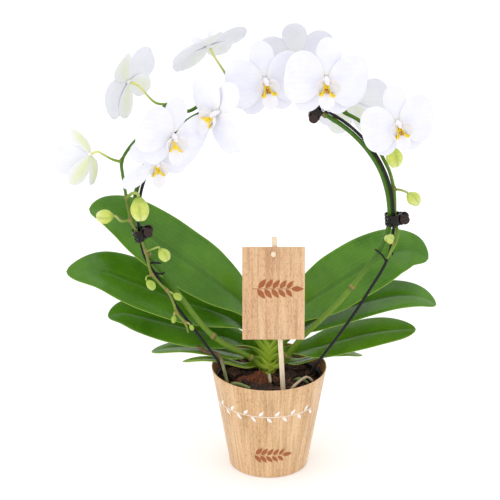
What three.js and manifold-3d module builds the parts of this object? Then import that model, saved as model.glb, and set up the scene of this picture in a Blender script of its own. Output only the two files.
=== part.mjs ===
// A white moth orchid in a tapered pot cover, trained over a wire arch.
// Millimetres, +Z up, the viewer's side is -Y. The origin is the centre of the pot cover's underside.
// Two flower spikes climb the arch from opposite sides and cross at the top: the one from the right
// ends in a falling row of buds on the left, the one from the left ends in three buds on the right.

import * as THREE from "three";
import { mergeVertices } from "three/addons/utils/BufferGeometryUtils.js";
import Module from "manifold-3d";

const wasm = await Module();
wasm.setup();

// Driving dimensions

const GAP = 0.3;
const SEAT_GAP = 0.45;

const COVER = { height: 120, rimRadius: 65.5, baseRadius: 45, wall: 1.2, floor: 2, sides: 36 };
const GROWER_POT = { baseRadius: 41.2, topRadius: 59.2, rimRadius: 61, top: 107, wall: 0.8,
  flange: 3, sides: 32 };
const BARK = { level: 100.5, mound: 3 };
const CROWN = { x: -0.5, y: 21, halfWidth: 8, halfDepth: 9, bottom: 70, top: 138 };
const LEAF = { thickness: 1.8, rows: 8, tipSharpness: 0.58 };
const ARCH = { x: -4, z: 302, radiusX: 140.5, radiusZ: 140, y: -8, wireRadius: 1.8 };
const PETAL_THICKNESS = 0.8;
const FLOWER = { back: 4, coreRadius: 3.1 };
const TAG = { width: 69, height: 107, thickness: 1.2 };
const STICK = { width: 5.4, thickness: 2.4, length: 215, leanBack: 6.2, leanLeft: 3.4 };

const MATERIALS = {
  cover: { color: 0xdcb483, roughness: 0.62, metalness: 0 },
  growerPot: { color: 0x2a2622, roughness: 0.5, metalness: 0 },
  bark: { color: 0x4a2c1d, roughness: 0.95, metalness: 0 },
  leaf: { color: 0x3f7a2e, roughness: 0.42, metalness: 0 },
  stem: { color: 0x5c8a2c, roughness: 0.5, metalness: 0 },
  bloom: { color: 0xf7f6fb, roughness: 0.6, metalness: 0 },
  bud: { color: 0xcbdc7c, roughness: 0.5, metalness: 0 },
  wire: { color: 0x1d1d1f, roughness: 0.45, metalness: 0.1 },
  clip: { color: 0x2b1c19, roughness: 0.2, metalness: 0 },
  tag: { color: 0xd3a77c, roughness: 0.7, metalness: 0 },
  stick: { color: 0xe6c9a0, roughness: 0.75, metalness: 0 },
  root: { color: 0x9a8f5c, roughness: 0.8, metalness: 0 },
};

// Helpers

const V = (x, y, z) => new THREE.Vector3(x, y, z);
const rad = THREE.MathUtils.degToRad;
const lerp = THREE.MathUtils.lerp;
const smoothstep = THREE.MathUtils.smoothstep;

// A closed three.js geometry as a solid. Faces that collapsed to a line are dropped.
function solid(geometry) {
  const bare = new THREE.BufferGeometry().setAttribute("position", geometry.getAttribute("position"));
  if (geometry.index) bare.setIndex(geometry.index);
  const merged = mergeVertices(bare, 1e-4);
  const index = merged.index.array;
  const kept = [];
  for (let i = 0; i < index.length; i += 3) {
    const [a, b, c] = [index[i], index[i + 1], index[i + 2]];
    if (a !== b && b !== c && c !== a) kept.push(a, b, c);
  }
  const make = (triangles) =>
    new wasm.Manifold(
      new wasm.Mesh({
        numProp: 3,
        vertProperties: new Float32Array(merged.attributes.position.array),
        triVerts: new Uint32Array(triangles),
      }),
    );
  const made = make(kept);
  if (made.volume() > 0) return made;
  for (let i = 0; i < kept.length; i += 3) [kept[i + 1], kept[i + 2]] = [kept[i + 2], kept[i + 1]];
  return make(kept);
}

const join = (solids) => solids.reduce((sum, next) => sum.add(next));

function geometryOf(made) {
  const mesh = made.getMesh();
  return new THREE.BufferGeometry()
    .setAttribute("position", new THREE.BufferAttribute(new Float32Array(mesh.vertProperties), 3))
    .setIndex(new THREE.BufferAttribute(new Uint32Array(mesh.triVerts), 1));
}

// Rows of points, each row a closed ring, as one solid with a fan over each end.
function ringSolid(rings) {
  const sides = rings[0].length;
  const points = rings.flat();
  const faces = [];
  for (let i = 0; i < rings.length - 1; i++) {
    for (let j = 0; j < sides; j++) {
      const a = i * sides + j;
      const b = i * sides + ((j + 1) % sides);
      faces.push(a, b, b + sides, a, b + sides, a + sides);
    }
  }
  const last = (rings.length - 1) * sides;
  for (let j = 1; j < sides - 1; j++) {
    faces.push(0, j + 1, j);
    faces.push(last, last + j, last + j + 1);
  }
  const geometry = new THREE.BufferGeometry().setFromPoints(points);
  return solid(geometry.setIndex(faces));
}

// A round tube along a smooth curve through the points. radiusAt takes 0 at the start to 1 at the end.
function tube(points, radiusAt, sides, steps) {
  const curve = new THREE.CatmullRomCurve3(points, false, "centripetal");
  const centres = curve.getSpacedPoints(steps);
  const frames = curve.computeFrenetFrames(steps);
  const rings = centres.map((centre, i) => {
    const radius = radiusAt(i / steps);
    return Array.from({ length: sides }, (_, j) => {
      const angle = (j / sides) * 2 * Math.PI;
      return centre
        .clone()
        .addScaledVector(frames.normals[i], Math.cos(angle) * radius)
        .addScaledVector(frames.binormals[i], Math.sin(angle) * radius);
    });
  });
  return ringSolid(rings);
}

// A thin blade: pointAt(s, t) is its middle surface, s from 0 at the base to 1 at the tip and t from
// -1 to 1 across. Both faces are split into triangles alike.
function blade(pointAt, rows, columns, thickness) {
  const across = (j) => -1 + (2 * j) / columns;
  const middle = rows.map((s) => Array.from({ length: columns + 1 }, (_, j) => pointAt(s, across(j))));
  const last = rows.length - 1;
  const normalAt = (i, j) => {
    const along = middle[Math.min(i + 1, last)][j].clone().sub(middle[Math.max(i - 1, 0)][j]);
    const side = middle[i][Math.min(j + 1, columns)].clone().sub(middle[i][Math.max(j - 1, 0)]);
    return along.cross(side).normalize();
  };
  const normals = middle.map((row, i) => row.map((_, j) => (i < last ? normalAt(i, j) : null)));
  const tipNormal = normals[last - 1][columns >> 1];
  const points = [];
  for (const side of [1, -1]) {
    const offset = (side * thickness) / 2;
    middle.forEach((row, i) =>
      row.forEach((p, j) => points.push(p.clone().addScaledVector(normals[i][j] ?? tipNormal, offset))),
    );
  }
  const width = columns + 1;
  const back = middle.length * width;
  const faces = [];
  const quad = (a, b, c, d) => faces.push(a, b, c, a, c, d);
  for (let i = 0; i < last; i++) {
    for (let j = 0; j < columns; j++) {
      const [a, b, c, d] = [i * width + j, (i + 1) * width + j, (i + 1) * width + j + 1, i * width + j + 1];
      faces.push(a, b, c, a, c, d);
      faces.push(back + a, back + c, back + b, back + a, back + d, back + c);
    }
    for (const [j, far] of [
      [0, false],
      [columns, true],
    ]) {
      const a = i * width + j;
      const b = (i + 1) * width + j;
      if (far) quad(a, b, back + b, back + a);
      else quad(b, a, back + a, back + b);
    }
  }
  for (let j = 0; j < columns; j++) {
    quad(j, j + 1, back + j + 1, back + j);
    const tip = last * width + j;
    quad(tip + 1, tip, back + tip, back + tip + 1);
  }
  return solid(new THREE.BufferGeometry().setFromPoints(points).setIndex(faces));
}

// A body turned about +Z from an outline of [radius, height] points that starts and ends on the axis.
function turned(outline, sides) {
  const lathe = new THREE.LatheGeometry(
    outline.map(([radius, height]) => new THREE.Vector2(radius, height)),
    sides,
  );
  return solid(lathe.rotateX(Math.PI / 2));
}

// The same points with the first pushed back, for a socket that is deeper than what stands in it.
function deepened(points, by) {
  const back = points[0].clone().sub(points[1]).setLength(by);
  return [points[0].clone().add(back), ...points.slice(1)];
}

function placed(geometry, matrix) {
  return solid(geometry.clone().applyMatrix4(matrix));
}

const root = new THREE.Group();

function add(name, made, material) {
  const mesh = new THREE.Mesh(geometryOf(made), new THREE.MeshStandardMaterial(MATERIALS[material]));
  mesh.name = name;
  root.add(mesh);
}

// Pot cover: a tapered card sleeve with a flat floor

function coverRadius(z) {
  return lerp(COVER.baseRadius, COVER.rimRadius, z / COVER.height);
}

function makeCover() {
  const { height, wall, floor, sides } = COVER;
  return turned(
    [
      [0, 0],
      [coverRadius(0), 0],
      [coverRadius(height), height],
      [coverRadius(height) - wall, height],
      [coverRadius(floor) - wall, floor],
      [0, floor],
    ],
    sides,
  );
}

// Grower's pot: thin plastic, a flanged rim and drain holes in its floor

function makeGrowerPot() {
  const { baseRadius, topRadius, rimRadius, top, wall, flange, sides } = GROWER_POT;
  const bottom = COVER.floor + GAP;
  const shell = turned(
    [
      [0, bottom],
      [baseRadius, bottom],
      [topRadius, top - flange],
      [rimRadius, top - flange],
      [rimRadius, top],
      [topRadius - wall, top],
      [baseRadius - wall, bottom + wall],
      [0, bottom + wall],
    ],
    sides,
  );
  const drainHole = new THREE.CylinderGeometry(4, 4, 6, 6).rotateX(Math.PI / 2);
  const holes = [45, 135, 225, 315].map((angle) =>
    placed(
      drainHole,
      new THREE.Matrix4().makeTranslation(26 * Math.cos(rad(angle)), 26 * Math.sin(rad(angle)), bottom),
    ),
  );
  return shell.subtract(join(holes));
}

// Bark: fills the grower's pot, with a chip-rough top

function barkTop(x, y) {
  const r = Math.hypot(x, y) / GROWER_POT.topRadius;
  const chips = 1.3 * Math.sin(x * 0.31 + y * 0.17) + 1.2 * Math.sin(y * 0.37 - x * 0.11 + 2);
  return BARK.level + BARK.mound * (1 - r * r) + chips * (1 - r ** 6);
}

function makeBark(holes) {
  const { baseRadius, topRadius, top, wall, sides } = GROWER_POT;
  const potFloor = COVER.floor + GAP + wall;
  const bottom = potFloor + GAP;
  const radiusAt = (z) => lerp(baseRadius, topRadius, (z - potFloor) / (top - potFloor)) - wall - GAP;
  const ring = (radius, heightAt) =>
    Array.from({ length: sides }, (_, j) => {
      const angle = (j / sides) * 2 * Math.PI;
      const [x, y] = [radius * Math.cos(angle), radius * Math.sin(angle)];
      return V(x, y, heightAt(x, y));
    });
  const edge = radiusAt(BARK.level);
  const rings = [
    ring(radiusAt(bottom), () => bottom),
    ring(edge, () => BARK.level),
    ...[0.7, 0.01].map((share) => ring(edge * share, barkTop)),
  ];
  return ringSolid(rings).subtract(join(holes));
}

// Leaves: midribs are points from the crown to the tip. roll lifts the rear edge, keel folds the halves up.

const LEAVES = [
  {
    name: "leaf_left_1",
    width: 72,
    roll: 42,
    keel: 14,
    midrib: [[-5.6, 22, 134], [-17, 24, 158], [-32, 28, 185], [-71, 36, 216], [-103, 42, 238],
      [-135, 47, 260], [-162, 51, 279], [-184, 53, 288], [-204, 54, 290]],
  },
  {
    name: "leaf_left_2",
    width: 66,
    roll: 34,
    keel: 9,
    midrib: [[-6.6, 21, 126.5], [-19, 22, 145], [-35, 25, 162], [-62, 30, 175], [-96, 34, 186],
      [-124, 36, 196], [-158, 38, 209], [-192, 39, 221], [-231, 40, 219]],
  },
  {
    name: "leaf_left_3",
    width: 58,
    roll: 27,
    keel: 9,
    midrib: [[-7.4, 21, 119.5], [-22, 21, 132], [-39, 23, 141], [-79, 30, 150], [-111, 33, 157],
      [-147, 35, 166], [-168, 35, 170], [-185, 35, 166]],
  },
  {
    name: "leaf_left_4",
    width: 36,
    roll: 3,
    keel: 9,
    sheath: 7,
    midrib: [[-8.8, 21, 114], [-22, 19, 120], [-42, 17, 127], [-62, 16, 132], [-85, 17, 135],
      [-113, 20, 133], [-135, 22, 127]],
  },
  {
    name: "leaf_left_5",
    width: 19,
    roll: -4,
    keel: 8,
    sheath: 5,
    midrib: [[-7.8, 17, 108.2], [-25, 11, 113], [-49, 5.5, 122.4], [-73, 5, 126], [-99, 4, 123]],
  },
  {
    name: "leaf_right_1",
    width: 72,
    roll: 40,
    keel: 11,
    midrib: [[6.6, 22, 134], [22, 25, 157], [41, 28, 183], [69, 35, 201], [96, 40, 218],
      [121, 44, 231], [143, 47, 240], [163, 49, 241], [182, 50, 231]],
  },
  {
    name: "leaf_right_2",
    width: 58,
    roll: 17,
    keel: 12,
    midrib: [[7.6, 21, 126.5], [24, 22, 143], [41, 25, 157], [56, 28, 165], [81, 32, 174],
      [116, 36, 184], [150, 38, 190], [172, 39, 188], [192, 40, 178]],
  },
  {
    name: "leaf_right_3",
    width: 50,
    roll: 19,
    keel: 8,
    midrib: [[7.9, 21, 119], [25, 20, 124], [41, 21, 129], [59, 23, 133.5], [82, 27, 139],
      [110, 31, 145], [139, 33, 149], [169, 34, 150]],
  },
  {
    name: "leaf_right_4",
    width: 25,
    roll: -9,
    keel: 4,
    sheath: 6,
    midrib: [[7.9, 22.6, 109.6], [28, 19, 114.5], [47, 18.5, 120.5], [65, 20, 125.5], [87, 22, 125.5],
      [108, 24, 121.5]],
  },
];

// Half the blade's width at s, as a share of its widest. sheath is half the width where it clasps the
// crown.
function leafOutline(s, width, sheath) {
  const petiole = sheath / (width / 2);
  const widening = petiole + (1 - petiole) * smoothstep(s, 0, 0.5);
  const tip = s < 0.6 ? 1 : Math.max(0, 1 - ((s - 0.6) / 0.4) ** 2) ** LEAF.tipSharpness;
  return widening * tip;
}

function makeLeaf({ width, roll, keel, midrib, sheath = 9.5 }, clearance = 0) {
  const route = deepened(midrib.map((p) => V(...p)), 2 * clearance);
  const curve = new THREE.CatmullRomCurve3(route, false, "centripetal");
  const up = V(0, 0, 1);
  const pointAt = (s, t) => {
    const centre = curve.getPointAt(s);
    const along = curve.getTangentAt(s);
    const normal = up.clone().addScaledVector(along, -up.dot(along)).normalize();
    const rear = new THREE.Vector3().crossVectors(along, normal);
    if (rear.y < 0) rear.negate();
    const turn = rad(roll) * smoothstep(s, 0, 0.35);
    const side = rear.clone().multiplyScalar(Math.cos(turn)).addScaledVector(normal, Math.sin(turn));
    const lift = normal.clone().multiplyScalar(Math.cos(turn)).addScaledVector(rear, -Math.sin(turn));
    const fold = rad(lerp(40, keel, smoothstep(s, 0, 0.3)));
    const half = (width / 2) * leafOutline(s, width, sheath) + clearance;
    return centre
      .addScaledVector(side, t * half * Math.cos(fold))
      .addScaledVector(lift, half * (Math.abs(t) * Math.sin(fold) - 0.1 * t * t));
  };
  const rowAt = (i) => Math.sin(((i / LEAF.rows) * Math.PI) / 2) ** 1.15;
  const rows = Array.from({ length: LEAF.rows + 1 }, (_, i) => rowAt(i));
  return blade(pointAt, rows, 4, LEAF.thickness + 2 * clearance);
}

// Crown: the short stem that the leaves clasp

function makeCrown(seats) {
  const { x, y, halfWidth, halfDepth, bottom, top } = CROWN;
  const ringAt = (z, share) =>
    Array.from({ length: 10 }, (_, j) => {
      const angle = (j / 10) * 2 * Math.PI;
      return V(x + halfWidth * share * Math.cos(angle), y + halfDepth * share * Math.sin(angle), z);
    });
  const body = ringSolid([ringAt(bottom, 0.7), ringAt(96, 1), ringAt(120, 1), ringAt(top, 0.85)]);
  return body.subtract(join(seats));
}

// The arch in the plane y = ARCH.y, angle 0 at the right and 90 at the top.
function archPoint(angle, outward = 0, y = ARCH.y) {
  return [
    ARCH.x + (ARCH.radiusX + outward) * Math.cos(rad(angle)),
    y,
    ARCH.z + (ARCH.radiusZ + outward) * Math.sin(rad(angle)),
  ];
}

const ARCH_LEFT_LEG = [[-40, -8, 62], [-41.5, -8, 102], [-56, -8, 126], [-80, -8, 162.5],
  [-103, -8, 196], [-125, -8, 233], [-138, -8, 256.5], [-143.5, -8, 283]];
const ARCH_RIGHT_LEG = [[135.5, -8, 281], [130.5, -8, 254], [110, -8, 214], [91, -8, 181.5],
  [63, -8, 139], [50, -8, 120], [42, -8, 103], [40, -8, 62]];
const ARCH_ROUTE = [
  ...ARCH_LEFT_LEG,
  ...Array.from({ length: 13 }, (_, i) => archPoint(180 - i * 15)),
  ...ARCH_RIGHT_LEG,
].map((p) => V(...p));

// Short arms on the wire that a stem is tucked behind.
const ARCH_HOOKS = [
  [[-134, -8, 249], [-127, -9.5, 250.5], [-120, -10, 250]],
  [[-128, -8, 238.5], [-121, -9.5, 237], [-116, -10, 239]],
  [[129, -8, 252], [124, -11, 261], [116, -12, 268]],
  [[132, -8, 261], [135.5, -8.5, 265], [136, -9, 259]],
];

function archWire(radius) {
  return tube(ARCH_ROUTE, () => radius, 6, 48);
}

function makeArch() {
  const wire = archWire(ARCH.wireRadius);
  const hooks = ARCH_HOOKS.map((points) => tube(points.map((p) => V(...p)), () => 1.1, 5, 3));
  return join([wire, ...hooks]);
}

// Flower spikes: the stem's route, and how far along it each flower stalk leaves

const SPIKE_RIGHT = [
  [4, 14.5, 110.5], [13.5, 10, 116], [21, 4, 130], [31, -1, 148], [43, -3, 163], [61, -8, 184],
    [79, -9, 204], [104, -7, 237], [121, -4, 262],
  [128, -4.4, 279], archPoint(-3, -4, -4.6), archPoint(1, -4, -4.6), archPoint(12, -4.6, -4),
    archPoint(24, -4.6, -4), archPoint(36, -5.2, -6),
  archPoint(48, -5.6, -7), archPoint(60, -5.5, -7), archPoint(68, -5.3, -6.5),
    archPoint(76, -2, -1.8), archPoint(84, 4, -1),
  archPoint(95, 8.5, 0.5), archPoint(106, 8, 1), archPoint(117, 7.5, 1), archPoint(125, 8, 1),
  [-109, 1, 431], [-125, 0, 417], [-141, -3, 397], [-154, -6, 382], [-161, -9, 369],
    [-160, -10, 352], [-157, -12, 330],
  [-154, -14, 312], [-152, -14, 300], [-147.5, -12.8, 291], [-144, -12.6, 284],
    [-140.5, -12.8, 276], [-136, -14, 262],
  [-131, -14.5, 240], [-122, -15, 228], [-113, -15, 218], [-107, -15, 204], [-103, -15, 191],
    [-94, -14, 179], [-91, -13, 167],
];
const SPIKE_LEFT = [
  [-2, 12.5, 110.5], [-10, 8, 116], [-20, 5, 127], [-34, 1, 137], [-49, 0, 146], [-63, -1, 157],
    [-80, -2, 177], [-103, -2, 211.5], [-120, -2, 236.5],
  [-134, -2, 256], [-140.5, -1.8, 271], [-143.5, -1.6, 284], archPoint(180, 1.5, -3.5),
    archPoint(171, 5, -3.5), archPoint(160, 4, -3), archPoint(149, 1, -2),
  archPoint(137, 0, -2), archPoint(125, 0, -2), archPoint(112, -2, -2.6), archPoint(103, -2, -2),
    archPoint(95, -2.5, -1), archPoint(88, -1.5, 4.5),
  archPoint(81, 2, 8), archPoint(72, 8, 9), archPoint(62, 9, 8), [81, 7, 420], [95, 7, 412],
    [108, 6, 401], [118, 2, 388],
  archPoint(30, 4.6, -2), archPoint(22, 4.4, -2.8), archPoint(12, 3, -2.4), archPoint(0, 1.6, -2.6),
    [139.5, -4.2, 293], [141, -11, 285],
  [137.5, -14.6, 275], [130, -13.6, 257],
];
const SPIKES = {
  right: { route: SPIKE_RIGHT, baseRadius: 3, tipRadius: 1.3 },
  left: { route: SPIKE_LEFT, baseRadius: 3, tipRadius: 1.7 },
};

function spikeCurve(side) {
  const points = SPIKES[side].route.map((p) => V(...p));
  return new THREE.CatmullRomCurve3(points, false, "centripetal");
}

const spikePoints = {
  left: spikeCurve("left").getSpacedPoints(400),
  right: spikeCurve("right").getSpacedPoints(400),
};

// The point on a spike nearest to a stalk's first point.
function joint(side, [x, y, z]) {
  const wanted = V(x, y, z);
  return spikePoints[side].reduce((best, p) => (p.distanceTo(wanted) < best.distanceTo(wanted) ? p : best));
}

// One flower's petals and sepals: angle from the flower's right, length, width, tilt to the front in
// degrees, and how it bends along its length (bend) and across its width (cup).
const DORSAL = { angle: 90, length: 42, width: 28, tilt: -3, bend: -0.1, cup: 0.1, raise: -0.6,
  round: [0.7, 0.5] };
const PETAL = { angle: -1, length: 45, width: 56, tilt: 9, bend: -0.16, cup: -0.06, raise: 1.1,
  round: [0.55, 0.4] };
const LATERAL = { angle: -56, length: 43, width: 27, tilt: -2, bend: -0.02, cup: 0.12, raise: -0.6,
  round: [0.85, 0.52] };
const PETAL_ROWS = [0, 0.15, 0.45, 0.8, 1];
const SEPAL_ROWS = [0, 0.22, 0.52, 0.82, 1];
const TEPAL_START = 1.9;

const mirrored = (tepal) => ({ ...tepal, angle: 180 - tepal.angle });

// at is the flower's heart. yaw turns it to the right from the viewer, 180 is facing away; pitch tips
// it up; roll turns it anticlockwise as seen from its front. stalk runs from the spike to its neck.
const BLOOMS = [
  { name: "bloom_top_left", spike: "right", at: [-66.6, 24, 490], yaw: 220, pitch: 45, roll: -26,
    size: 1, stalk: [[-43, 1, 449], [-47, 4, 462]] },
  { name: "bloom_far_left", spike: "right", at: [-155, 36, 446], yaw: 236, pitch: 8, roll: -34,
    size: 1, stalk: [[-109, 1, 431], [-124, 10, 430]],
    leftPetal: { width: 46 }, rightPetal: { width: 50 } },
  { name: "bloom_top_back", spike: "left", at: [30, 40, 474], yaw: 180, pitch: 6, roll: -8,
    size: 0.98, stalk: [[21, 2, 440], [24, 8, 452]] },
  { name: "bloom_right_back", spike: "left", at: [91, 46, 420], yaw: 166, pitch: -4, roll: -4,
    size: 0.97, stalk: [[81, 7, 420], [84, 16, 425]] },
  { name: "bloom_front_centre", spike: "left", at: [-6, -31, 469], yaw: 12, pitch: 2, roll: 7,
    size: 0.97, stalk: [[-14, -1, 442], [-12, -7, 452]] },
  { name: "bloom_front_right", spike: "right", at: [58, -43, 474], yaw: 10, pitch: 2, roll: -7,
    size: 1.02, stalk: [[69, -8, 417], [69, -0.5, 422], [65, 4, 442]] },
  {
    name: "bloom_right", spike: "left", at: [134, -44, 426], yaw: 16, pitch: 4, roll: 6, size: 0.92,
      stalk: [[118, 2, 388], [124, -6, 408]],
    leftPetal: { angle: 188 },
  },
  {
    name: "bloom_left_centre", spike: "right", at: [-54.5, -46, 438], yaw: -50, pitch: -5, roll: -25,
    size: 0.95, stalk: [[-64, 1, 442], [-50, -8, 452]],
  },
  {
    name: "bloom_left", spike: "left", at: [-103, -56, 416], yaw: 26, pitch: -6, roll: -8,
    size: 0.95, stalk: [[-98, -1.4, 402], [-99, -12, 414]],
    leftPetal: { angle: 166 }, rightPetal: { angle: -20, tilt: 2, width: 68 },
    rightSepal: { angle: -62 }, leftSepal: { angle: -128 },
  },
  {
    name: "bloom_lower_left", spike: "left", at: [-122, -38, 381], yaw: 16, pitch: -8, roll: 0,
    size: 0.86, stalk: [[-140, -2.5, 350], [-138, -12, 366]],
    dorsal: { angle: 92 }, leftPetal: { angle: 134, width: 38, length: 40 },
    rightPetal: { angle: 55, width: 36, length: 36 },
    leftSepal: { angle: -139, width: 24, length: 55 }, rightSepal: { angle: -22, width: 24, length: 42 },
  },
  {
    name: "bloom_opening", spike: "right", at: [-196, -2, 375], yaw: -126, pitch: -26, roll: 14,
    size: 0.8, stalk: [[-161, -9, 369], [-172, -8, 368], [-184, -5, 373]],
    dorsal: { tilt: 14, bend: 0.3, cup: 0.3 }, leftPetal: { tilt: 40, bend: 0.1, width: 42, cup: 0.2 },
    rightPetal: { tilt: 40, bend: 0.1, width: 42, cup: 0.2 },
    leftSepal: { tilt: 8, bend: 0.5, cup: 0.3 }, rightSepal: { tilt: 4, bend: 0.5, cup: 0.3 },
    closed: true,
  },
];

function flowerFrame({ at, yaw, pitch, roll }) {
  const level = V(Math.cos(rad(yaw)), Math.sin(rad(yaw)), 0);
  const ahead = V(Math.sin(rad(yaw)), -Math.cos(rad(yaw)), 0);
  const facing = ahead.multiplyScalar(Math.cos(rad(pitch))).setZ(Math.sin(rad(pitch)));
  const upright = new THREE.Vector3().crossVectors(facing, level);
  const right = level.multiplyScalar(Math.cos(rad(roll))).addScaledVector(upright, Math.sin(rad(roll)));
  const up = new THREE.Vector3().crossVectors(facing, right);
  return { matrix: new THREE.Matrix4().makeBasis(right, up, facing).setPosition(...at), facing };
}

// A tepal in the flower's own frame: X to its right, Y up, Z to its front.
function tepal({ angle, length, width, tilt, bend, cup, raise, round }, rows, columns) {
  const outward = V(Math.cos(rad(angle)), Math.sin(rad(angle)), 0);
  const sideways = V(-outward.y, outward.x, 0);
  const outline = (s) => s ** round[0] * (1 - s) ** round[1];
  const widest = outline(round[0] / (round[0] + round[1]));
  const pointAt = (s, t) => {
    const half = Math.max((width / 2) * (outline(s) / widest), 1.5 * (1 - s) ** 2);
    const reach = TEPAL_START + (length - TEPAL_START) * s * Math.cos(rad(tilt));
    const front = raise + length * (s * Math.sin(rad(tilt)) + bend * s * s) + cup * half * t * t;
    return outward.clone().multiplyScalar(reach).addScaledVector(sideways, t * half).setZ(front);
  };
  return blade(pointAt, rows, columns, PETAL_THICKNESS);
}

function lobe(base, tip, side, width, bulge, rows = [0, 0.55, 1]) {
  const [from, to, across] = [V(...base), V(...tip), V(...side).normalize()];
  const out = new THREE.Vector3().crossVectors(to.clone().sub(from), across).normalize();
  return blade(
    (s, t) =>
      from
        .clone()
        .lerp(to, s)
        .addScaledVector(across, (t * width * (0.35 + 1.3 * s) * (1 - s) ** 0.5) / 2)
        .addScaledVector(out, bulge * Math.sin(Math.PI * s) * (1 - t * t * 0.6)),
    rows,
    2,
    1,
  );
}

// The core runs from the stalk's seat through the column. The lip is two lobes cupped round the column
// and one that hangs forward.
function core() {
  const ringAt = (radius, y, z) =>
    Array.from({ length: 6 }, (_, j) => {
      const angle = (j / 6) * 2 * Math.PI;
      return V(radius * Math.cos(angle), y + radius * Math.sin(angle), z);
    });
  return ringSolid([ringAt(2, 0, -FLOWER.back), ringAt(FLOWER.coreRadius, 0, 1), ringAt(2.3, -4, 12)]);
}

function lip() {
  return [
    lobe([-1.5, -6, 5], [-11, -8, 17], [-0.2, 1, 0.2], 25, 2.5),
    lobe([1.5, -6, 5], [11, -8, 17], [-0.2, -1, -0.2], 25, 2.5),
    lobe([0, -2, 3], [0, -30, 17], [1, 0, 0], 17, -3, [0, 0.5, 1]),
  ];
}

function makeBloom(bloom) {
  const parts = [
    tepal({ ...DORSAL, ...bloom.dorsal }, SEPAL_ROWS, 2),
    tepal({ ...PETAL, ...bloom.rightPetal }, PETAL_ROWS, 4),
    tepal({ ...mirrored(PETAL), ...bloom.leftPetal }, PETAL_ROWS, 4),
    tepal({ ...LATERAL, ...bloom.rightSepal }, SEPAL_ROWS, 2),
    tepal({ ...mirrored(LATERAL), ...bloom.leftSepal }, SEPAL_ROWS, 2),
    core(),
    ...(bloom.closed ? [] : lip()),
  ];
  const scale = new THREE.Matrix4().makeScale(bloom.size, bloom.size, bloom.size);
  const matrix = flowerFrame(bloom).matrix.multiply(scale);
  return join(parts).transform(matrix.elements);
}

// Buds: at is the end where the stalk joins, towards points along the bud
const BUDS = [
  { name: "bud_right_1", spike: "left", at: [131, -12, 387], towards: [0.25, -0.2, -1], length: 23,
    width: 18, stalk: [[123, -2, 378], [126, -6, 388]] },
  { name: "bud_right_2", spike: "left", at: [151, -12, 333], towards: [0.75, -0.9, -0.5],
    length: 18, width: 14.5, stalk: [[137, -3.4, 335], [144, -9, 336]] },
  { name: "bud_right_3", spike: "left", at: [133, -19, 280], towards: [-0.3, -0.7, 0.7], length: 13,
    width: 11, stalk: [[136.5, -13.6, 275], [135, -16, 277]] },
  { name: "bud_left_1", spike: "right", at: [-143, -22, 333], towards: [0.1, -0.15, -1], length: 27,
    width: 20, stalk: [[-157, -12, 328], [-149, -18, 336]] },
  { name: "bud_left_2", spike: "right", at: [-171, -18, 309], towards: [-1, -0.25, 0.1], length: 19,
    width: 15.5, stalk: [[-155, -13, 303], [-163, -17, 303]] },
  { name: "bud_left_3", spike: "right", at: [-121, -19, 271], towards: [0.6, -0.3, -0.9],
    length: 16, width: 13, stalk: [[-137, -14, 266], [-129, -17, 270]] },
  { name: "bud_left_4", spike: "right", at: [-136, -18.5, 233], towards: [0.7, -0.3, -0.8],
    length: 13, width: 9.5, stalk: [[-130, -14.5, 238], [-136, -17, 237]] },
  { name: "bud_left_5", spike: "right", at: [-107, -19, 217], towards: [0.85, -0.3, -0.5],
    length: 11, width: 8, stalk: [[-114, -15, 219.5], [-110, -18, 219]] },
  { name: "bud_left_6", spike: "right", at: [-106.5, -17, 190], towards: [-0.1, -0.1, -1],
    length: 9, width: 6, stalk: [[-103, -15, 193], [-106, -16.5, 193.5]] },
  { name: "bud_left_7", spike: "right", at: [-89, -18, 179], towards: [0.5, -0.3, -0.8], length: 7,
    width: 5, stalk: [[-94, -14, 180], [-91.5, -16.5, 181]] },
];

function makeBud({ at, towards, length, width }) {
  const axis = V(...towards).normalize();
  const side = new THREE.Vector3().crossVectors(axis, V(0, 0, 1)).normalize();
  const front = new THREE.Vector3().crossVectors(axis, side);
  const [sides, rows] = width > 9 ? [9, 5] : [6, 3];
  const rings = Array.from({ length: rows + 1 }, (_, i) => {
    const s = i / rows;
    const radius = (width / 2) * Math.max(0.16, Math.sin(Math.PI * (0.06 + 0.86 * s)) ** 0.72);
    return Array.from({ length: sides }, (__, j) => {
      const angle = (j / sides) * 2 * Math.PI;
      const ribbed = radius * (1 + 0.07 * Math.cos(3 * angle));
      return V(...at)
        .addScaledVector(axis, GAP + s * length)
        .addScaledVector(side, Math.cos(angle) * ribbed)
        .addScaledVector(front, Math.sin(angle) * ribbed);
    });
  });
  return ringSolid(rings);
}

function bloomStalk({ spike, stalk, at, facing, size }) {
  const reach = FLOWER.back * size + GAP;
  const end = V(...at).addScaledVector(facing, -reach);
  const neck = V(...at).addScaledVector(facing, -reach - 9);
  const route = [joint(spike, stalk[0]), ...stalk.slice(1).map((p) => V(...p)), neck, end];
  return tube(route, (s) => 1.9 - 0.5 * Math.sin(Math.PI * s), 5, 5);
}

function budStalk({ spike, stalk, at, towards, width }) {
  const axis = V(...towards).normalize();
  const end = V(...at);
  const neck = V(...at).addScaledVector(axis, -0.16 * width);
  const radius = Math.max(0.85, width * 0.085);
  const route = [joint(spike, stalk[0]), ...stalk.slice(1).map((p) => V(...p)), neck, end];
  return tube(route, () => radius, 4, 4);
}

function spikeStem(side, clearance = 0) {
  const { route, baseRadius, tipRadius } = SPIKES[side];
  const taper = (s) => lerp(baseRadius, tipRadius, Math.max(0, s - 0.25) / 0.75);
  const radiusAt = (s) => taper(s) * (s > 0.985 ? 0.7 : 1) + clearance;
  return tube(deepened(route.map((p) => V(...p)), 2 * clearance), radiusAt, 6, 48);
}

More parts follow.
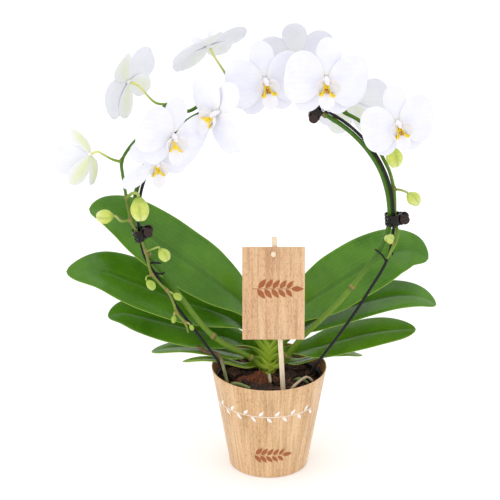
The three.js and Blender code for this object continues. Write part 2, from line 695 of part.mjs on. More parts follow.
function makeSpike(side) {
  const stalks = [
    ...BLOOMS.filter((b) => b.spike === side).map((b) => bloomStalk({ ...b, ...flowerFrame(b) })),
    ...BUDS.filter((b) => b.spike === side).map(budStalk),
  ];
  return join([spikeStem(side), ...stalks]);
}

// Claw clips: two sprung jaws on a pin. grip is the direction of the finger pads in the arch's plane.
const CLIPS = [
  { name: "clip_left", at: [-144, -6.8, 284], grip: 17, halfAcross: 5.4, halfDepth: 9.7, padReach: 10.5 },
  { name: "clip_top", at: [...archPoint(67, -2.6, -7.2)], grip: -109, halfAcross: 6.6,
    halfDepth: 5.8, padReach: 9.5 },
  { name: "clip_right", at: [135.4, -5, 301], grip: 4, halfAcross: 7.4, halfDepth: 6.4, padReach: 13 },
];
const JAW = { width: 12.5, wall: 1.5, split: 0.4, padRadius: 5.4, padThickness: 1.6, pinRadius: 1 };

// In a clip's own frame X runs to the finger pads, Y away from the viewer and Z along the stem.
function clipMatrix({ at, grip }) {
  const out = V(Math.cos(rad(grip)), 0, Math.sin(rad(grip)));
  const away = V(0, 1, 0);
  const along = new THREE.Vector3().crossVectors(out, away);
  return new THREE.Matrix4().makeBasis(out, away, along).setPosition(...at);
}

function jawShape({ halfAcross, halfDepth, padReach }, sign) {
  const { wall, split, pinRadius } = JAW;
  const ellipse = (across, depth, angle) => [
    across * Math.cos(angle),
    sign * (split + depth * Math.sin(angle)),
  ];
  const angles = [8, 49, 90, 131, 172].map(rad);
  const outer = angles.slice(1).map((a) => ellipse(halfAcross + wall, halfDepth + wall, a));
  const inner = angles.map((a) => ellipse(halfAcross, halfDepth, a)).reverse();
  const hinge = halfAcross + wall + 1.2;
  const tip = Math.max(padReach, hinge) + 1.5;
  const lever = [
    [hinge, sign * (split + pinRadius + GAP)],
    [tip, sign * 5],
    [tip, sign * 6.4],
    [hinge - 2, sign * 4.4],
  ];
  return new THREE.Shape([...inner, ...lever, ...outer].map(([x, y]) => new THREE.Vector2(x, y)));
}

function makeJaw(clip, sign) {
  const { width, padRadius, padThickness } = JAW;
  const extrusion = { depth: width, bevelEnabled: false, steps: 1 };
  const arc = new THREE.ExtrudeGeometry(jawShape(clip, sign), extrusion);
  const pad = new THREE.CylinderGeometry(padRadius, padRadius, padThickness, 10);
  const slot = new THREE.BoxGeometry(2 * clip.halfAcross, 2 * clip.halfDepth + 6, 1.7);
  const slots = [-2.3, 2.3].map((z) =>
    placed(slot, new THREE.Matrix4().makeTranslation(-clip.halfAcross - 2, 0, z)),
  );
  const leverStart = clip.halfAcross + JAW.wall + 11.6;
  const lever = new THREE.BoxGeometry(20, 40, width).translate(leverStart, 0, 0);
  const waist = new THREE.BoxGeometry(24, 44, width * 0.5).translate(leverStart, 0, 0);
  return solid(arc.translate(0, 0, -width / 2))
    .subtract(solid(lever).subtract(solid(waist)))
    .add(solid(pad.translate(clip.padReach, sign * 6, 0)))
    .subtract(join(slots))
    .transform(clipMatrix(clip).elements);
}

function makeClipPin(clip) {
  const x = clip.halfAcross + JAW.wall + 1.2;
  const pin = new THREE.CylinderGeometry(JAW.pinRadius, JAW.pinRadius, JAW.width * 0.6, 8);
  return placed(pin.rotateX(Math.PI / 2).translate(x, 0, 0), clipMatrix(clip));
}

// Tag: a plain board pinned to the front of a wooden splint

const TAG_CENTRE = V(4.3, -29.4, 222);
const tagTilt = new THREE.Matrix4().makeRotationX(-rad(STICK.leanBack));
const STICK_FOOT = V(17.6, -42.5, 72);

function stickMatrix() {
  return new THREE.Matrix4()
    .makeTranslation(STICK_FOOT)
    .multiply(tagTilt)
    .multiply(new THREE.Matrix4().makeRotationY(-rad(STICK.leanLeft)));
}

const PEG = { x: -0.3, z: 46, headRadius: 3, headLength: 4.2, shaftRadius: 1.9, shaftLength: 2.9 };

function makePeg() {
  const { x, z, headRadius, headLength, shaftRadius, shaftLength } = PEG;
  const headBack = -TAG.thickness / 2 - GAP;
  const head = new THREE.CylinderGeometry(headRadius, headRadius, headLength, 12);
  const shaft = new THREE.CylinderGeometry(shaftRadius, shaftRadius, shaftLength, 12);
  return solid(head.translate(x, headBack - headLength / 2, z))
    .add(solid(shaft.translate(x, headBack - 0.4 + shaftLength / 2, z)))
    .transform(tagTilt.clone().setPosition(TAG_CENTRE).elements);
}

function makeTag() {
  const holeRadius = PEG.shaftRadius + GAP;
  const hole = new THREE.CylinderGeometry(holeRadius, holeRadius, 6, 12);
  return solid(new THREE.BoxGeometry(TAG.width, TAG.thickness, TAG.height))
    .subtract(solid(hole.translate(PEG.x, 0, PEG.z)))
    .transform(tagTilt.clone().setPosition(TAG_CENTRE).elements);
}

function makeStick(clearance = 0) {
  const { width, thickness, length } = STICK;
  const bar = new THREE.BoxGeometry(width + 2 * clearance, thickness + 2 * clearance, length + clearance);
  return placed(bar.translate(0, 0, (length - clearance) / 2), stickMatrix());
}

// Aerial roots that leave the crown and lie over the bark
const ROOTS = [
  { name: "root_left", radius: 2.3, points: [[-81, 2, 144], [-72, 1, 137], [-64, -1, 136.5],
    [-57, -2, 134], [-51.5, -17, 125], [-49, -19.5, 115], [-47, -21, 106], [-46.5, -21, 96]] },
  { name: "root_front_left", radius: 2.2, points: [[-40, -31, 97], [-39, -32, 104], [-35, -35, 108],
    [-28, -39, 109.5], [-20, -43, 108], [-15, -45, 104], [-14, -45, 97]] },
  { name: "root_tip", radius: 2.6, points: [[-1, -3, 97], [-1, -4, 105], [0, -9, 112],
    [0.5, -14, 111], [1, -18, 106.5]] },
  { name: "root_right", radius: 1.9, points: [[24, -31, 97], [24.5, -31.5, 104], [27.5, -32, 109],
    [37, -22, 113], [43, -18, 114], [50, -18, 109]] },
  { name: "root_back_right", radius: 1.9, points: [[28, -8, 96], [28.5, -9, 104], [32, -12, 109],
    [37, -15, 110], [43, -16.5, 107], [45.5, -17, 102], [46, -17, 96]] },
];

function makeRoot({ radius, points }) {
  return tube(points.map((p) => V(...p)), (s) => radius * (1 - 0.25 * s), 5, 7);
}

// A plain upright hole down from above the bark
function stemHole(x, y, radius, bottom, sides = 6) {
  const top = BARK.level + 20;
  const hole = new THREE.CylinderGeometry(radius, radius, top - bottom, sides).rotateX(Math.PI / 2);
  return placed(hole, new THREE.Matrix4().makeTranslation(x, y, (top + bottom) / 2));
}

// Assembly

add("pot_cover", makeCover(), "cover");
add("grower_pot", makeGrowerPot(), "growerPot");
add("tag_stick", makeStick(), "stick");
add("tag_board", makeTag(), "tag");
add("tag_peg", makePeg(), "stick");

LEAVES.forEach((leaf) => add(leaf.name, makeLeaf(leaf), "leaf"));
const seats = [
  ...LEAVES.map((leaf) => makeLeaf(leaf, SEAT_GAP)),
  spikeStem("left", SEAT_GAP),
  spikeStem("right", SEAT_GAP),
];
add("crown", makeCrown(seats), "leaf");
add("wire_arch", makeArch(), "wire");
add("spike_right", makeSpike("right"), "stem");
add("spike_left", makeSpike("left"), "stem");
BLOOMS.forEach((bloom) => add(bloom.name, makeBloom(bloom), "bloom"));
BUDS.forEach((bud) => add(bud.name, makeBud(bud), "bud"));
CLIPS.forEach((clip) => {
  add(`${clip.name}_front_jaw`, makeJaw(clip, -1), "clip");
  add(`${clip.name}_rear_jaw`, makeJaw(clip, 1), "clip");
  add(`${clip.name}_pin`, makeClipPin(clip), "clip");
});
ROOTS.forEach((rooted) => add(rooted.name, makeRoot(rooted), "root"));

const holes = [
  makeStick(GAP),
  stemHole(CROWN.x, CROWN.y, CROWN.halfDepth + 1, CROWN.bottom - 1, 12),
  stemHole(-40.8, ARCH.y, 3.4, 61),
  stemHole(41, ARCH.y, 3.4, 61),
  ...ROOTS.flatMap(({ radius, points }) =>
    [points[0], points.at(-1)]
      .filter(([, , z]) => z < BARK.level)
      .map(([x, y, z]) => stemHole(x, y, radius + 1.4, z - 1)),
  ),
];
add("bark", makeBark(holes), "bark");

export default root;
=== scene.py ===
# A white moth orchid in a wood-print card pot cover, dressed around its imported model.
# Points and sizes are written in millimetres, +Z up, the viewer's side is -Y, and turned to metres as
# meshes are made. Flowers, leaves, stems, roots, clips and wire follow the routes of the model's source.

import math
import random

import bmesh
import bpy
import numpy as np
from mathutils import Matrix, Vector


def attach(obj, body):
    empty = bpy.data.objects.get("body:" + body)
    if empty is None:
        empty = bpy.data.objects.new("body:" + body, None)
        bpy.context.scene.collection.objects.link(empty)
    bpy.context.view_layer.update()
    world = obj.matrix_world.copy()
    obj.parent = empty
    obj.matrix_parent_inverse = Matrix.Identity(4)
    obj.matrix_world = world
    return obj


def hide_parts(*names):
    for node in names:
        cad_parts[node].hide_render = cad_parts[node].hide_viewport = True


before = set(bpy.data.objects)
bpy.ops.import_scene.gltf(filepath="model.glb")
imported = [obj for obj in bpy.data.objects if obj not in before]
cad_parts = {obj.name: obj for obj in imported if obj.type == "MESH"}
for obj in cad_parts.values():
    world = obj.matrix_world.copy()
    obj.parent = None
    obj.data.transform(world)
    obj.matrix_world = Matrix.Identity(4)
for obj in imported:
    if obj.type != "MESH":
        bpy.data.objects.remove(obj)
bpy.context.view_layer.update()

MM = 0.001
SEED = 11

# Driving dimensions, as in the model's source

COVER_HEIGHT = 120
COVER_RIM_RADIUS = 65.5
COVER_BASE_RADIUS = 45
COVER_WALL = 1.2
COVER_FLOOR = 2
POT_INNER_RADIUS = 59.2
BARK_LEVEL = 100.5
BARK_MOUND = 3
CROWN_X = -0.5
CROWN_Y = 21
LEAF_THICKNESS = 1.8
LEAF_TIP_SHARPNESS = 0.58
ARCH_X = -4
ARCH_Y = -8
ARCH_Z = 302
ARCH_RADIUS_X = 140.5
ARCH_RADIUS_Z = 140
WIRE_RADIUS = 1.8
PETAL_THICKNESS = 0.8
FLOWER_BACK = 4
GAP = 0.3
TAG_CENTRE = (4.3, -29.4, 222)
TAG_WIDTH = 69
TAG_HEIGHT = 107
TAG_THICKNESS = 1.2
TAG_LEAN = 6.2
STICK_FOOT = (17.6, -42.5, 72)
STICK_WIDTH = 5.4
STICK_THICKNESS = 2.4
STICK_LENGTH = 215
STICK_LEAN_LEFT = 3.4

# Camera and light. The floor glows a little, as a lit white sweep does.

CAMERA_PLACE = (-0.0217, -2.0, 1.074)
CAMERA_DOWN = 22.1
CAMERA_LENS = 139.9
SENSOR_WIDTH = 36
VIEW_REACH = 100
FLOOR_HALF_SIZE = 40
FLOOR_DROP = 0.0002
FLOOR_GLOW = 0.19
WORLD_STRENGTH = 0.97
LIGHT_AIM = (0, 0, 0.28)

# Random phases of waves are drawn up to about one full turn, in radians.
PHASES = 6.28


def rad(degrees):
    return math.radians(degrees)


def lerp(a, b, share):
    return a + (b - a) * share


def smoothstep(x, low, high):
    share = np.clip((np.asarray(x, float) - low) / (high - low), 0, 1)
    return share * share * (3 - 2 * share)


def bell(x, width):
    """1 at x = 0, falling away softly on both sides."""
    return np.exp(-((x / width) ** 2))


def unit(v):
    v = np.asarray(v, float)
    return v / np.maximum(np.linalg.norm(v, axis=-1, keepdims=True), 1e-9)


def stacked(*parts):
    """Points, marks or places from their parts, where a part may be one number for them all."""
    return np.stack(np.broadcast_arrays(*parts), axis=-1)


def full_turn(sides):
    """The angles at which a ring's points stand."""
    return np.arange(sides) / sides * 2 * math.pi


def toward_tip(steps, power):
    """Shares from 0 to 1 that lie closer together near 1."""
    return 1 - (1 - np.linspace(0, 1, steps + 1)) ** power


def to_edges(steps):
    """Shares from -1 to 1 that lie closer together near both ends."""
    return np.sin(np.linspace(-math.pi / 2, math.pi / 2, steps + 1))


def matrix_of(right, up, front, origin):
    matrix = np.eye(4)
    matrix[:3] = np.stack([right, up, front, origin], axis=-1)
    return matrix


# Routes and solids


class Route:
    """A smooth line through a few points. Places on it are shares of its length, 0 to 1."""

    SPAN_STEPS = 24
    SLOPE_STEP = 0.004

    def __init__(self, points):
        points = np.array(points, float)
        first = 2 * points[0] - points[1]
        last = 2 * points[-1] - points[-2]
        padded = np.vstack([first, points, last])
        x = np.linspace(0, 1, self.SPAN_STEPS, endpoint=False)[:, None]
        spans = []
        for p0, p1, p2, p3 in zip(padded, padded[1:], padded[2:], padded[3:]):
            d0, d1, d2 = (max(np.linalg.norm(b - a) ** 0.5, 1e-4) for a, b in ((p0, p1), (p1, p2), (p2, p3)))
            t1 = ((p1 - p0) / d0 - (p2 - p0) / (d0 + d1) + (p2 - p1) / d1) * d1
            t2 = ((p2 - p1) / d1 - (p3 - p1) / (d1 + d2) + (p3 - p2) / d2) * d1
            square = 3 * (p2 - p1) - 2 * t1 - t2
            cube = 2 * (p1 - p2) + t1 + t2
            spans.append(p1 + t1 * x + square * x**2 + cube * x**3)
        self.line = np.vstack([*spans, points[-1:]])
        steps = np.linalg.norm(np.diff(self.line, axis=0), axis=1)
        self.measure = np.concatenate([[0], np.cumsum(steps)])
        self.length = self.measure[-1]

    def at(self, shares):
        wanted = np.clip(np.asarray(shares, float), 0, 1) * self.length
        return np.stack([np.interp(wanted, self.measure, self.line[:, k]) for k in range(3)], axis=-1)

    def along(self, shares):
        shares = np.asarray(shares, float)
        return unit(self.at(shares + self.SLOPE_STEP) - self.at(shares - self.SLOPE_STEP))

    def nearest(self, point):
        """The share of the length that lies closest to a point."""
        distances = np.linalg.norm(self.line - np.array(point, float), axis=1)
        return self.measure[distances.argmin()] / self.length


def turned_frames(tangents):
    """Two directions across each tangent that don't twist along the line."""
    helper = (0, 0, 1) if abs(tangents[0][2]) < 0.9 else (1, 0, 0)
    across = [unit(np.cross(tangents[0], helper))]
    for tangent in tangents[1:]:
        last = across[-1]
        across.append(unit(last - tangent * np.dot(last, tangent)))
    across = np.array(across)
    return across, np.cross(tangents, across)


def linked(name, data):
    """A new object in the scene."""
    made = bpy.data.objects.new(name, data)
    bpy.context.scene.collection.objects.link(made)
    return made


class Form:
    """The points and faces of one piece, gathered part by part. mark is a colour-like value for each point
    that its material reads: what each channel means is said where the material is made."""

    def __init__(self):
        self.points = []
        self.faces = []
        self.slots = []
        self.marks = []
        self.places = []
        self.count = 0

    def add(self, points, faces, slot=0, mark=(0, 0, 0), place=None):
        points = np.asarray(points, float).reshape(-1, 3)
        self.points.append(points)
        self.faces += [[i + self.count for i in face] for face in faces]
        self.slots += [slot] * len(faces)
        self.marks.append(np.broadcast_to(np.asarray(mark, float), (len(points), 3)))
        self.places.append(np.zeros((len(points), 2)) if place is None else np.asarray(place, float))
        self.count += len(points)

    def piece(self, name, materials, replaces=(), matrix=None, smooth=True, sharp=None):
        """Makes the object. sharp is the angle in degrees from which its edges are drawn as edges."""
        points = np.vstack(self.points)
        if matrix is not None:
            points = points @ matrix[:3, :3].T + matrix[:3, 3]
        mesh = bpy.data.meshes.new(name)
        mesh.from_pydata((points * MM).tolist(), [], self.faces)
        mesh.polygons.foreach_set("material_index", self.slots)
        mesh.polygons.foreach_set("use_smooth", [smooth] * len(self.faces))
        marks = np.vstack(self.marks)
        attribute = mesh.color_attributes.new("mark", "FLOAT_COLOR", "POINT")
        attribute.data.foreach_set("color", np.hstack([marks, np.ones((len(marks), 1))]).ravel())
        places = np.vstack(self.places)
        corners = np.zeros(len(mesh.loops), int)
        mesh.loops.foreach_get("vertex_index", corners)
        layer = mesh.uv_layers.new(name="place")
        layer.data.foreach_set("uv", places[corners].ravel())
        mesh.validate()
        for material in materials:
            mesh.materials.append(material)
        made = linked(name, mesh)
        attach(made, "root")
        if replaces:
            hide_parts(*replaces)
        if sharp:
            mesh.set_sharp_from_angle(angle=rad(sharp))
        return made


def add_rings(form, rings, slot=0, mark=(0, 0, 0)):
    """Rings of points, one after the other, with a fan over both ends."""
    rings = np.asarray(rings, float)
    rows, sides = rings.shape[:2]
    count, last = rows * sides, (rows - 1) * sides
    faces = []
    for i in range(rows - 1):
        for j in range(sides):
            a = i * sides + j
            b = i * sides + (j + 1) % sides
            faces.append((a, b, b + sides, a + sides))
    for j in range(sides):
        k = (j + 1) % sides
        faces.append((count, k, j))
        faces.append((count + 1, last + j, last + k))
    points = np.vstack([rings.reshape(-1, 3), rings[0].mean(0), rings[-1].mean(0)])
    mark = np.broadcast_to(np.asarray(mark, float), (rows, sides, 3)).reshape(-1, 3)
    mark = np.vstack([mark, mark[:1], mark[-1:]])
    share = np.repeat(np.linspace(0, 1, rows), sides)
    turn = np.tile(np.linspace(0, 1, sides, endpoint=False), rows)
    place = stacked(turn, share)
    place = np.vstack([place, place[:1], place[-1:]])
    form.add(points, faces, slot, mark, place)


def add_tube(form, route, radius_at, sides, steps, slot=0, mark_at=None, start=0.0, end=1.0):
    """A round stem along a route. radius_at and mark_at take shares of the length; radius_at may give a
    radius for each side."""
    shares = np.linspace(start, end, steps + 1)
    centres = route.at(shares)
    across, upward = turned_frames(route.along(shares))
    turns = full_turn(sides)
    radii = np.asarray(radius_at(shares), float)
    if radii.ndim == 1:
        radii = np.repeat(radii[:, None], sides, axis=1)
    spokes = across[:, None] * np.cos(turns)[None, :, None] + upward[:, None] * np.sin(turns)[None, :, None]
    rings = centres[:, None] + spokes * radii[:, :, None]
    mark = (0, 0, 0) if mark_at is None else np.repeat(mark_at(shares)[:, None], sides, axis=1)
    add_rings(form, rings, slot, mark)


def add_blade(form, surface, rows, columns, thickness, slots=(0, 0), mark=None, back_mark=None, edge=6):
    """A thin closed blade whose two faces meet in a rounded edge. surface takes s, 0 at the base to 1 at the
    tip, and t, -1 to 1 across, and gives the middle of the blade."""
    s, t = np.meshgrid(rows, columns, indexing="ij")
    middle = surface(s, t)
    n_rows, n_columns = s.shape
    normal = unit(np.cross(np.gradient(middle, axis=0), np.gradient(middle, axis=1)))
    normal[-1] = normal[-2]
    normal[0] = normal[1]
    border = np.zeros(s.shape, bool)
    border[[0, -1]] = True
    border[:, [0, -1]] = True
    swell = np.sqrt(np.clip(1 - np.abs(t) ** edge, 0, 1)) * np.sqrt(np.clip(1 - s**14, 0, 1))
    offset = normal * np.where(border, 0, swell * thickness / 2)[..., None]
    front_index = np.arange(s.size).reshape(s.shape)
    back_index = front_index.copy()
    inner = ~border
    back_index[inner] = s.size + np.arange(inner.sum())
    points = np.vstack([(middle + offset).reshape(-1, 3), (middle - offset)[inner]])
    place = stacked((t + 1) / 2, s)
    places = np.vstack([place.reshape(-1, 2), place[inner]])
    front = np.zeros((*s.shape, 3)) if mark is None else mark(s, t)
    back = front if back_mark is None else back_mark(s, t)
    front = np.where(border[..., None], (front + back) / 2, front)
    marks = np.vstack([front.reshape(-1, 3), back[inner]])
    front_faces = []
    back_faces = []
    for i in range(n_rows - 1):
        for j in range(n_columns - 1):
            corners = ((i, j), (i + 1, j), (i + 1, j + 1), (i, j + 1))
            front_faces.append([int(front_index[c]) for c in corners])
            back_faces.append([int(back_index[c]) for c in reversed(corners)])
    start = form.count
    form.add(points, front_faces, slots[0], marks, places)
    form.faces += [[i + start for i in face] for face in back_faces]
    form.slots += [slots[1]] * len(back_faces)


def facing(surface, s, t, step_s, step_t):
    """The direction across a surface at s and t."""
    corners = surface(*np.meshgrid([s, s + step_s], [t, t + step_t], indexing="ij"))
    return np.cross(corners[1, 0] - corners[0, 0], corners[0, 1] - corners[0, 0])


# Materials


def linear(colour):
    """A colour's red, green and blue of 0 to 255 as Blender's linear colour."""

    def channel(value):
        share = value / 255
        return share / 12.92 if share <= 0.04045 else ((share + 0.055) / 1.055) ** 2.4

    return (*(channel(value) for value in colour), 1)


class Look:
    """A material in the making, with short calls for the nodes that this scene uses. Colours are given by
    their red, green and blue of 0 to 255, and sizes in millimetres."""

    # Blender's band texture turns by so many radians for each unit of its coordinate.
    BAND_TURN = 20

    def __init__(self, name, roughness):
        self.material = bpy.data.materials.new(name)
        self.material.use_nodes = True
        self.tree = self.material.node_tree
        self.shader = self.tree.nodes["Principled BSDF"]
        self.shader.inputs["Roughness"].default_value = roughness
        self.coordinates = None

    def feed(self, socket, value):
        if isinstance(value, bpy.types.NodeSocket):
            self.tree.links.new(value, socket)
        else:
            socket.default_value = value

    def node(self, kind, inputs=(), **settings):
        made = self.tree.nodes.new(kind)
        for key, value in settings.items():
            setattr(made, key, value)
        for key, value in dict(inputs).items():
            self.feed(made.inputs[key], value)
        return made

    def place(self, stretch=(1, 1, 1), of="Object"):
        """Coordinates in millimetres on the object, or across and along a blade with of="UV"."""
        if self.coordinates is None:
            self.coordinates = self.node("ShaderNodeTexCoord")
        scale = 1 if of == "UV" else 1 / MM
        factors = tuple(scale * k for k in stretch)
        mapping = self.node("ShaderNodeMapping", {"Vector": self.coordinates.outputs[of], "Scale": factors})
        return mapping.outputs["Vector"]

    def noise(self, size, detail=3, roughness=0.55, stretch=(1, 1, 1), of="Object", distortion=0.0):
        inputs = {
            "Vector": self.place(stretch, of),
            "Scale": 1 / size,
            "Detail": detail,
            "Roughness": roughness,
            "Distortion": distortion,
        }
        return self.node("ShaderNodeTexNoise", inputs).outputs["Fac"]

    def cells(self, size, randomness=1.0):
        inputs = {"Vector": self.place(), "Scale": 1 / size, "Randomness": randomness}
        return self.node("ShaderNodeTexVoronoi", inputs).outputs["Distance"]

    def stripes(self, count, distortion, detail_scale=1.0):
        """Soft lines, about count of them from one edge to the other."""
        inputs = {
            "Vector": self.place(of="UV"),
            "Scale": count * 2 * math.pi / self.BAND_TURN,
            "Distortion": distortion,
            "Detail": 2,
            "Detail Scale": detail_scale,
        }
        return self.node("ShaderNodeTexWave", inputs, wave_type="BANDS", bands_direction="X").outputs["Fac"]

    def mark(self, channel):
        """One channel of the marks that the mesh carries."""
        attribute = self.node("ShaderNodeAttribute", attribute_name="mark")
        split = self.node("ShaderNodeSeparateColor", {"Color": attribute.outputs["Color"]})
        return split.outputs[("Red", "Green", "Blue")[channel]]

    def math(self, operation, a, b):
        made = self.node("ShaderNodeMath", operation=operation)
        self.feed(made.inputs[0], a)
        self.feed(made.inputs[1], b)
        return made.outputs[0]

    def times(self, a, b):
        return self.math("MULTIPLY", a, b)

    def ramp(self, value, low, high):
        """A smooth 0 to 1 as value goes from low to high."""
        inputs = {"Value": value, "From Min": low, "From Max": high}
        made = self.node("ShaderNodeMapRange", inputs, interpolation_type="SMOOTHSTEP")
        return made.outputs["Result"]

    def mix(self, share, a, b):
        """From a to b as share goes from 0 to 1."""
        made = self.node("ShaderNodeMix", data_type="RGBA")
        self.feed(made.inputs[0], share)
        for socket, colour in ((made.inputs[6], a), (made.inputs[7], b)):
            self.feed(socket, linear(colour) if isinstance(colour, tuple) else colour)
        return made.outputs[2]

    def blend(self, value, low, high, a, b):
        """From a to b as value goes from low to high."""
        return self.mix(self.ramp(value, low, high), a, b)

    def lay(self, value, low, high, strength, base, colour):
        """Lays a colour over base, up to strength, as value goes from low to high."""
        return self.mix(self.times(self.ramp(value, low, high), strength), base, colour)

    def bump(self, height, strength, depth, under=None):
        inputs = {"Height": height, "Strength": strength, "Distance": depth * MM}
        if under is not None:
            inputs["Normal"] = under
        return self.node("ShaderNodeBump", inputs).outputs["Normal"]

    def finish(self, colour, roughness=None, normal=None, **constants):
        self.feed(self.shader.inputs["Base Color"], colour)
        if roughness is not None:
            self.feed(self.shader.inputs["Roughness"], roughness)
        if normal is not None:
            self.feed(self.shader.inputs["Normal"], normal)
        for key, value in constants.items():
            self.shader.inputs[key.replace("_", " ")].default_value = value
        return self.material


def tepal_look():
    """White tepals with faint lengthwise veins. Marks: 0 green-yellow of the backs, 1 cream by the heart."""
    look = Look("tepal_white", 0.6)
    veins = look.stripes(9, distortion=1.6, detail_scale=0.5)
    fine = look.stripes(26, distortion=2.0, detail_scale=0.8)
    white = look.blend(look.noise(16, detail=2), 0.35, 0.7, (245, 245, 253), (240, 240, 252))
    veined = look.lay(veins, 0.6, 1.0, 0.1, white, (226, 227, 242))
    cream = look.mix(look.mark(1), veined, (244, 241, 218))
    green_veins = look.blend(veins, 0.3, 1.0, (236, 240, 204), (226, 233, 180))
    tinted = look.mix(look.mark(0), cream, green_veins)
    normal = look.bump(veins, 0.05, 0.15, look.bump(fine, 0.05, 0.06))
    return look.finish(tinted, normal=normal, Sheen_Weight=0.1, Sheen_Roughness=0.5, Specular_IOR_Level=0.3)


def lip_look():
    """The waxy lip. Marks: 0 yellow, 1 red-brown spots, solid where it is full, 2 pink flush."""
    look = Look("lip_waxy", 0.34)
    white = look.mix(look.noise(6, detail=2), (250, 249, 254), (242, 240, 244))
    yellow = look.mix(look.noise(2.2), (255, 230, 30), (250, 212, 8))
    yellowed = look.blend(look.mark(0), 0.1, 0.6, white, yellow)
    spots = look.cells(1.5, randomness=0.9)
    bars = look.noise(1.3, detail=2, stretch=(1, 0.45, 1))
    speckle = look.times(look.ramp(spots, 0.6, 0.3), look.ramp(bars, 0.38, 0.52))
    spotted = look.times(speckle, look.ramp(look.mark(1), 0.2, 0.7))
    solid = look.times(look.ramp(look.mark(1), 0.9, 1.0), look.ramp(bars, 0.62, 0.4))
    marked = look.mix(look.math("MAXIMUM", spotted, solid), yellowed, (142, 44, 20))
    flushed = look.mix(look.times(look.mark(2), 0.4), marked, (238, 196, 214))
    normal = look.bump(look.noise(0.9), 0.2, 0.1)
    return look.finish(flushed, normal=normal, Coat_Weight=0.1)


def leaf_look(name, upper):
    """Leathery leaf. Marks: 0 pale margin, 1 midrib groove, darkened as painted shade in the groove, 2 share
    of yellow-green.
    """
    look = Look(name, 0.36 if upper else 0.5)
    veins = look.stripes(15, distortion=0.5, detail_scale=0.5)
    fine = look.stripes(44, distortion=1.0, detail_scale=0.7)
    small = look.noise(5, detail=4)
    deep, light = ((60, 109, 8), (82, 133, 20)) if upper else ((92, 134, 44), (122, 162, 70))
    green = look.blend(look.noise(38), 0.25, 0.75, deep, light)
    striped = look.lay(veins, 0.45, 1.0, 0.16, green, (106, 158, 38))
    mottled = look.lay(small, 0.5, 0.75, 0.12, striped, (40, 80, 6))
    lime = look.mix(look.noise(9, detail=2), (178, 206, 56), (150, 188, 44))
    limed = look.mix(look.mark(2), mottled, lime)
    # Darker green along the midrib: painted shade of its groove.
    ribbed = look.mix(look.times(look.mark(1), 0.4), limed, (44, 84, 10))
    edged = look.blend(look.mark(0), 0.3, 0.9, ribbed, (156, 184, 72))
    roughness = look.ramp(look.noise(16), -0.4 if upper else -1.2, 2.2)
    normal = look.bump(veins, 0.04, 0.12, look.bump(fine, 0.06, 0.05, look.bump(small, 0.12, 0.25)))
    return look.finish(edged, roughness, normal, Coat_Weight=0.1, Coat_Roughness=0.3, Specular_IOR_Level=0.34)


def stem_look():
    """Stalks and stems. Marks: 0 pale green-yellow near flowers, 1 brown of nodes and bracts, 2 lime."""
    look = Look("stem_green", 0.42)
    streaks = look.noise(1.6, stretch=(1, 1, 0.3))
    green = look.blend(streaks, 0.3, 0.75, (60, 103, 8), (78, 120, 18))
    lime = look.mix(look.mark(2), green, (176, 200, 70))
    pale = look.mix(look.mark(0), lime, (226, 226, 146))
    brown = look.mix(look.noise(1.6), (184, 156, 98), (124, 92, 52))
    marked = look.blend(look.mark(1), 0.2, 0.8, pale, brown)
    normal = look.bump(streaks, 0.12, 0.12)
    return look.finish(marked, normal=normal, Specular_IOR_Level=0.3, Coat_Weight=0.05)


def bud_look():
    """Closed buds. Marks: 0 pale tip, 1 green seam, 2 green by the stalk."""
    look = Look("bud_lime", 0.42)
    veins = look.stripes(16, distortion=1.2)
    lime = look.blend(look.noise(4), 0.35, 0.7, (202, 214, 88), (218, 226, 118))
    veined = look.lay(veins, 0.5, 1.0, 0.2, lime, (170, 192, 68))
    pale = look.mix(look.mark(0), veined, (236, 238, 176))
    seamed = look.mix(look.times(look.mark(1), 0.5), pale, (138, 164, 48))
    based = look.mix(look.mark(2), seamed, (138, 172, 44))
    return look.finish(based, normal=look.bump(veins, 0.2, 0.12), Coat_Weight=0.1)


def crown_look():
    """The clasping leaf bases. Marks: 0 dark dry edge, 1 deeper green upward."""
    look = Look("crown_lime", 0.38)
    streaks = look.noise(3, stretch=(1, 1, 0.2))
    lime = look.blend(streaks, 0.3, 0.7, (176, 208, 46), (208, 228, 84))
    greened = look.mix(look.mark(1), lime, (84, 136, 48))
    dried = look.blend(look.mark(0), 0.4, 0.9, greened, (74, 50, 32))
    return look.finish(dried, normal=look.bump(streaks, 0.3, 0.25), Coat_Weight=0.1, Coat_Roughness=0.3)


def root_look():
    """Aerial roots. Marks: 0 brown and scaly, 1 green growing end, 2 dry and beige."""
    look = Look("root_velamen", 0.75)
    grain = look.noise(1.1, detail=4)
    patches = look.noise(4.5)
    silver = look.blend(patches, 0.35, 0.65, (132, 140, 92), (168, 170, 124))
    green = look.mix(look.mark(1), silver, (104, 136, 62))
    beige = look.mix(look.mark(2), green, look.mix(grain, (222, 206, 178), (188, 164, 130)))
    scaly = look.blend(grain, 0.4, 0.62, (126, 96, 62), (58, 40, 26))
    marked = look.mix(look.mark(0), beige, scaly)
    return look.finish(marked, normal=look.bump(grain, 0.55, 0.5, look.bump(patches, 0.4, 0.6)))


def bark_look(name, light, dark):
    look = Look(name, 0.88)
    grain = look.noise(2.2, detail=5, roughness=0.65, stretch=(1, 0.35, 1))
    flecks = look.cells(2.6)
    colour = look.blend(grain, 0.36, 0.66, dark, light)
    shaded = look.lay(flecks, 0.4, 0.9, 0.5, colour, dark)
    return look.finish(shaded, normal=look.bump(grain, 0.8, 0.8, look.bump(flecks, 0.5, 0.5)))


def fibre_look():
    look = Look("coir_fibre", 0.8)
    return look.finish(look.blend(look.noise(3), 0.3, 0.7, (92, 46, 26), (152, 88, 54)))


def wire_look():
    look = Look("wire_coat", 0.42)
    wear = look.noise(1.4)
    colour = look.blend(wear, 0.45, 0.75, (9, 9, 10), (25, 25, 27))
    return look.finish(colour, look.ramp(wear, -0.6, 2.2), look.bump(wear, 0.2, 0.1), Specular_IOR_Level=0.3)


